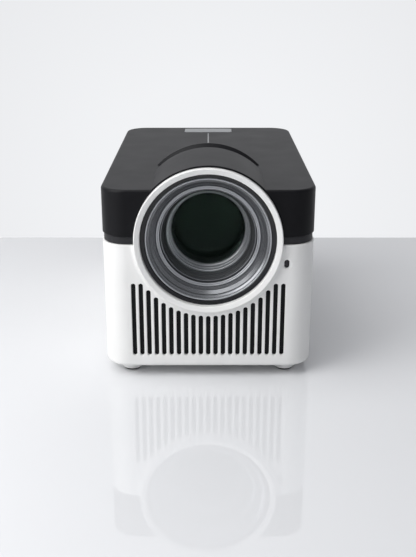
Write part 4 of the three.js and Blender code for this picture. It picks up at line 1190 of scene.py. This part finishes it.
# ---------------------------------------------------------------------------------------------
# The data sockets. Drawn steel shells with a moulded tongue and gilt contacts on it, soldered
# to the edge of the main board. Two narrow gaps are cut in the top of each shell.

SHELL_WALL = 0.5 * MM
tongue_plastic = skin_material("tongue_plastic", (0.02, 0.02, 0.021), (0.03, 0.03, 0.032), 0.4, 0.1)
gilt = skin_material("gilt_contacts", (0.83, 0.62, 0.27), (0.72, 0.53, 0.22), 0.2, 0.12, grain=900,
                     depth=0.000005, metallic=1)


def data_socket(node, shell_name, tongue_z, tongue_thick, contact_count, contact_width):
    x, z, width, height, y0, y1 = SOCKETS[node]
    shell = rear_block(shell_name, x, z, width, height, 0.9 * MM, y0, y1, 0.15 * MM)
    combine(shell, rear_opening("inside", x, z, width - 2 * SHELL_WALL, height - 2 * SHELL_WALL, 0.5 * MM,
                                y0 + 1 * MM, y1, 0.15 * MM), "DIFFERENCE")
    for side in (-1, 1):
        leaf_x = x + side * width / 4
        leaf_z = z + height / 2
        combine(shell, box_object("leaf gap", (leaf_x - 1.1 * MM, y1 - 7 * MM, leaf_z - 1 * MM),
                                  (leaf_x + 1.1 * MM, y1 - 6.6 * MM, leaf_z + 1 * MM)), "DIFFERENCE")
    smooth(shell)
    shell.data.materials.append(zinc)
    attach(shell, "housing")
    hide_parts(node)
    half = width / 2 - SHELL_WALL - 1.2 * MM
    low_z = z + tongue_z
    tongue = box_object(shell_name + "_tongue", (x - half, y0 + 0.5 * MM, low_z),
                        (x + half, y1 - 1.2 * MM, low_z + tongue_thick))
    edge = tongue.modifiers.new("soft edges", "BEVEL")
    edge.width = 0.2 * MM
    edge.segments = 2
    smooth(tongue)
    tongue.data.materials.append(tongue_plastic)
    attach(tongue, "housing")
    strips = []
    for i in range(contact_count):
        strip_x = x + (i - (contact_count - 1) / 2) * 2 * half / contact_count
        strips.append(box_object("strip", (strip_x - contact_width / 2, y1 - 9 * MM, low_z - 0.12 * MM),
                                 (strip_x + contact_width / 2, y1 - 1.8 * MM, low_z + 0.05 * MM)))
    contacts = join_meshes(shell_name + "_contacts", strips)
    contacts.data.materials.append(gilt)
    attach(contacts, "housing")


data_socket("video_socket", "video_shell", -0.5 * MM, 1.4 * MM, 9, 0.5 * MM)
data_socket("upper_usb_socket", "upper_usb_shell", 1.2 * MM, 1.4 * MM, 4, 1.1 * MM)
data_socket("lower_usb_socket", "lower_usb_shell", 1.2 * MM, 1.4 * MM, 4, 1.1 * MM)

# ---------------------------------------------------------------------------------------------
# The audio jack and the mains inlet. Both are black mouldings. The jack has a plated collar
# round its bore, and the inlet a waisted well with two turned brass pins.

x, z, width, height, y0, y1 = SOCKETS["audio_jack"]
jack = rear_block("jack_body", x, z, width, height, 1 * MM, y0, y1, 0.3 * MM)
bore = turned("bore", [(0, y1 - 10 * MM), (1.8 * MM, y1 - 10 * MM), (1.8 * MM, y1 - 0.3 * MM),
                       (2.1 * MM, y1 + 0.05 * MM), (2.1 * MM, y1 + 1 * MM), (0, y1 + 1 * MM)],
              (x, 0, z), segments=48)
combine(jack, bore, "DIFFERENCE")
groove = turned("groove", [(2.4 * MM, y1 - 0.5 * MM), (3.3 * MM, y1 - 0.5 * MM), (3.3 * MM, y1 + 0.5 * MM),
                           (2.4 * MM, y1 + 0.5 * MM)], (x, 0, z), segments=48)
combine(jack, groove, "DIFFERENCE")
smooth(jack)
jack.data.materials.append(panel_black)
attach(jack, "housing")
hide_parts("audio_jack")
collar = turned("jack_collar", [(2.45 * MM, y1 - 0.45 * MM), (3.25 * MM, y1 - 0.45 * MM),
                                (3.25 * MM, y1 - 0.12 * MM), (3.15 * MM, y1 - 0.02 * MM),
                                (2.55 * MM, y1 - 0.02 * MM), (2.45 * MM, y1 - 0.12 * MM)],
                (x, 0, z), segments=64)
smooth(collar, 30, weighted=False)
collar.data.materials.append(zinc)
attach(collar, "housing")

x, z, width, height, y0, y1 = SOCKETS["mains_inlet"]
WELL_DEPTH, WELL_RADIUS, PIN_SPACING = 11.5 * MM, 4.3 * MM, 8.6 * MM
inlet = rear_block("mains_well", x, z, width, height, 2 * MM, y0, y1, 0.3 * MM)
waist = rear_opening("waist", x, z, PIN_SPACING, 7 * MM, 0.3 * MM, y1 - WELL_DEPTH, y1)
combine(inlet, waist, "DIFFERENCE")
for side in (-1, 1):
    lobe = turned("lobe", [(0, y1 - WELL_DEPTH), (WELL_RADIUS, y1 - WELL_DEPTH),
                           (WELL_RADIUS, y1 - 0.3 * MM), (WELL_RADIUS + 0.2 * MM, y1),
                           (WELL_RADIUS + 0.2 * MM, y1 + 1 * MM), (0, y1 + 1 * MM)],
                  (x + side * PIN_SPACING / 2, 0, z), segments=64)
    combine(inlet, lobe, "DIFFERENCE")
smooth(inlet)
inlet.data.materials.append(panel_black)
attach(inlet, "housing")
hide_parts("mains_inlet")
for side in ("left", "right"):
    low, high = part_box(f"mains_pin_{side}")
    middle = (low + high) / 2
    pin = turned(f"brass_pin_{side}", rounded_section([
        (0, low.y, 0), (1.2 * MM, low.y, 0), (1.2 * MM, high.y, 0.8 * MM), (0, high.y, 0)], 6),
        (middle.x, 0, middle.z), segments=32)
    smooth(pin, 40, weighted=False)
    pin_brass = turned_material(f"pin_brass_{side}", (0.62, 0.46, 0.22), (0.78, 0.6, 0.32), 0.16, 0.3, 1.0,
                                centre=middle)
    pin.data.materials.append(pin_brass)
    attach(pin, "housing")
    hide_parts(f"mains_pin_{side}")

# ---------------------------------------------------------------------------------------------
# The side vent screens. Two thin black sheets stood inside the side vents, where the fan draws
# its air in: painted shade, so that the slots read dark. Their holes are painted too.

for side in (-1, 1):
    sheet_x = side * (HALF_WIDTH - WALL - 0.8 * MM)
    loops = []
    for i in range(2):
        x = sheet_x + side * (i - 0.5) * 0.5 * MM
        loops.append([(x, y, z) for y, z in rounded_outline(
            SIDE_VENT.y - 17 * MM, SIDE_VENT.y + 8 * MM, 18 * MM, 64 * MM, 2 * MM, 6)])
    sheet = lofted("left_shade_sheet" if side < 0 else "right_shade_sheet", loops)
    sheet.data.materials.append(screen_material)
    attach(sheet, "housing")

# ---------------------------------------------------------------------------------------------
# The fans and the duct. Glass filled black mouldings: the rear fan shows through the rear vents
# and the blower through the slots under the case. The rotors are a little greyer.

fan_black = skin_material("fan_frame_black", (0.013, 0.013, 0.014), (0.02, 0.02, 0.022), 0.48, 0.15,
                          grain=1400, depth=0.00004, specular=0.4)
rotor_black = skin_material("fan_rotor_black", (0.022, 0.022, 0.024), (0.032, 0.032, 0.035), 0.36, 0.12,
                            grain=900, depth=0.00002, specular=0.45)
duct_black = skin_material("duct_black", (0.016, 0.016, 0.018), (0.024, 0.024, 0.026), 0.55, 0.15,
                           grain=1200, depth=0.00005, specular=0.35)
for name, material, soft in [("fan_frame", fan_black, 0.3), ("fan_rotor", rotor_black, 0.12),
                             ("blower_housing", fan_black, 0.3), ("blower_impeller", rotor_black, 0.12),
                             ("air_duct", duct_black, 0.25)]:
    finish_node(name, material, soft * MM)

# ---------------------------------------------------------------------------------------------
# The focus drive. A black sleeve carries the barrel, with a natural white acetal rack on it and
# a pinion that a small motor in a drawn steel can turns.

sleeve_black = skin_material("sleeve_black", (0.006, 0.006, 0.0065), (0.01, 0.01, 0.011), 0.6, 0.1,
                             grain=1500, depth=0.00003, specular=0.25)
acetal_white = skin_material("acetal_white", (0.74, 0.735, 0.7), (0.68, 0.675, 0.64), 0.3, 0.1, grain=800,
                             depth=0.00001, specular=0.5)
motor_can = skin_material("motor_can", (0.52, 0.53, 0.54), (0.44, 0.45, 0.46), 0.3, 0.15, grain=700,
                          depth=0.00001, metallic=1)
for name, material, soft in [("lens_sleeve", sleeve_black, 0.25), ("focus_rack", acetal_white, 0.1),
                             ("focus_pinion", acetal_white, 0.08), ("focus_motor", motor_can, 0.3)]:
    finish_node(name, material, soft * MM)

# ---------------------------------------------------------------------------------------------
# The light engine. A matte black box holds the lamp board, the condenser, two Fresnel sheets and
# the picture panel in line behind the lens. The sheets carry fine concentric grooves, and the
# dark panel a grid of cells too small to make out.

engine_black = skin_material("engine_black", (0.004, 0.004, 0.0045), (0.007, 0.007, 0.008), 0.7, 0.1,
                             grain=1300, depth=0.00005, specular=0.15)
finish_node("light_housing", engine_black, 0.25 * MM)
sheet_centre = (LENS.x, 0, LENS.z)
# The Fresnel sheets are coloured near black, painted shade behind the lens, so that the glass reads dark.
grooved = turned_material("grooved_sheet", (0.0015, 0.002, 0.002), (0.004, 0.005, 0.005), 0.3, 0.5, 0.0,
                          line_size=2600, depth=0.00002, specular=0.04, centre=sheet_centre)
finish_node("front_fresnel", grooved)
finish_node("rear_fresnel", grooved)

cell_glass, tree, shader = new_material("picture_cells")
place = tree.nodes.new("ShaderNodeTexCoord")
cells = tree.nodes.new("ShaderNodeTexBrick")
cells.offset = 0
cells.inputs["Scale"].default_value = 900
cells.inputs["Color1"].default_value = (0.003, 0.003, 0.004, 1)
cells.inputs["Color2"].default_value = (0.005, 0.006, 0.007, 1)
cells.inputs["Mortar"].default_value = (0.001, 0.001, 0.001, 1)
cells.inputs["Mortar Size"].default_value = 0.03
smear = tree.nodes.new("ShaderNodeTexNoise")
smear.inputs["Scale"].default_value = 40
gloss = tree.nodes.new("ShaderNodeMapRange")
gloss.inputs["To Min"].default_value = 0.08
gloss.inputs["To Max"].default_value = 0.22
tree.links.new(place.outputs["Object"], cells.inputs["Vector"])
tree.links.new(place.outputs["Object"], smear.inputs["Vector"])
tree.links.new(smear.outputs["Fac"], gloss.inputs["Value"])
tree.links.new(cells.outputs["Color"], shader.inputs["Base Color"])
tree.links.new(gloss.outputs["Result"], shader.inputs["Roughness"])
shader.inputs["Specular IOR Level"].default_value = 0.3
finish_node("lcd_panel", cell_glass)
finish_node("condenser_lens", glass_material, 0.2 * MM)

fin_metal = skin_material("fin_metal", (0.62, 0.63, 0.65), (0.54, 0.55, 0.57), 0.38, 0.15, grain=1800,
                          depth=0.00002, metallic=1)
finish_node("heat_sink", fin_metal, 0.15 * MM)

# ---------------------------------------------------------------------------------------------
# The boards. Woven glass laminate under a solder mask: green for the main, power and key boards
# and white for the lamp board. Tracks show as paler lines under the mask, with plated spots.

board_group, board_in, board_out = new_group(
    "printed board",
    [("Mask Colour", "colour", (0.01, 0.08, 0.04, 1)), ("Track Colour", "colour", (0.02, 0.13, 0.06, 1)),
     ("Pad Colour", "colour", (0.5, 0.52, 0.5, 1))],
    [("Colour", "colour"), ("Roughness", "value"), ("Metal", "value"), ("Normal", "vector")])
nodes, link = board_group.nodes, board_group.links.new
place = nodes.new("ShaderNodeTexCoord")
tracks = nodes.new("ShaderNodeTexBrick")
tracks.inputs["Scale"].default_value = 110
tracks.inputs["Mortar Size"].default_value = 0.09
tracks.inputs["Row Height"].default_value = 0.16
tracks.inputs["Brick Width"].default_value = 1.3
pads = nodes.new("ShaderNodeTexVoronoi")
pads.inputs["Scale"].default_value = 190
pad_edge = nodes.new("ShaderNodeMath")
pad_edge.operation = "LESS_THAN"
pad_edge.inputs[1].default_value = 0.16
weave = nodes.new("ShaderNodeTexNoise")
weave.inputs["Scale"].default_value = 900
masked = nodes.new("ShaderNodeMix")
masked.data_type = "RGBA"
plated = nodes.new("ShaderNodeMix")
plated.data_type = "RGBA"
gloss = nodes.new("ShaderNodeMapRange")
gloss.inputs["To Min"].default_value = 0.24
gloss.inputs["To Max"].default_value = 0.4
raised = nodes.new("ShaderNodeMath")
raised.operation = "ADD"
bump = nodes.new("ShaderNodeBump")
bump.inputs["Distance"].default_value = 0.00003
for texture in (tracks, pads, weave):
    link(place.outputs["Object"], texture.inputs["Vector"])
link(pads.outputs["Distance"], pad_edge.inputs[0])
link(tracks.outputs["Fac"], masked.inputs["Factor"])
link(board_in.outputs["Mask Colour"], masked.inputs["A"])
link(board_in.outputs["Track Colour"], masked.inputs["B"])
link(pad_edge.outputs["Value"], plated.inputs["Factor"])
link(masked.outputs["Result"], plated.inputs["A"])
link(board_in.outputs["Pad Colour"], plated.inputs["B"])
link(weave.outputs["Fac"], gloss.inputs["Value"])
link(tracks.outputs["Fac"], raised.inputs[0])
link(weave.outputs["Fac"], raised.inputs[1])
link(raised.outputs["Value"], bump.inputs["Height"])
link(plated.outputs["Result"], board_out.inputs["Colour"])
link(gloss.outputs["Result"], board_out.inputs["Roughness"])
link(pad_edge.outputs["Value"], board_out.inputs["Metal"])
link(bump.outputs["Normal"], board_out.inputs["Normal"])

for name, mask, track, boards in [
        ("green_mask", (0.008, 0.07, 0.035), (0.015, 0.12, 0.06),
         ("main_board", "power_board", "key_board")),
        ("white_mask", (0.72, 0.73, 0.71), (0.64, 0.65, 0.63), ("led_board",))]:
    material, tree, shader = new_material(name)
    printed = place_group(tree, board_group, Mask_Colour=(*mask, 1), Track_Colour=(*track, 1))
    tree.links.new(printed.outputs["Colour"], shader.inputs["Base Color"])
    tree.links.new(printed.outputs["Roughness"], shader.inputs["Roughness"])
    tree.links.new(printed.outputs["Metal"], shader.inputs["Metallic"])
    tree.links.new(printed.outputs["Normal"], shader.inputs["Normal"])
    for node in boards:
        finish_node(node, material, 0.1 * MM)

# ---------------------------------------------------------------------------------------------
# The speakers. Pressed frames in black lacquered steel with pulped paper cones.

frame_lacquer = skin_material("frame_lacquer", (0.015, 0.015, 0.016), (0.024, 0.024, 0.026), 0.32, 0.1,
                              grain=1000, depth=0.00001)
cone_paper = skin_material("cone_paper", (0.028, 0.027, 0.026), (0.045, 0.044, 0.042), 0.9, 0.08, grain=650,
                           depth=0.0002, specular=0.15, cloud_size=60)
for side in ("left", "right"):
    finish_node(f"speaker_frame_{side}", frame_lacquer, 0.25 * MM)
    finish_node(f"speaker_cone_{side}", cone_paper, 0.15 * MM)
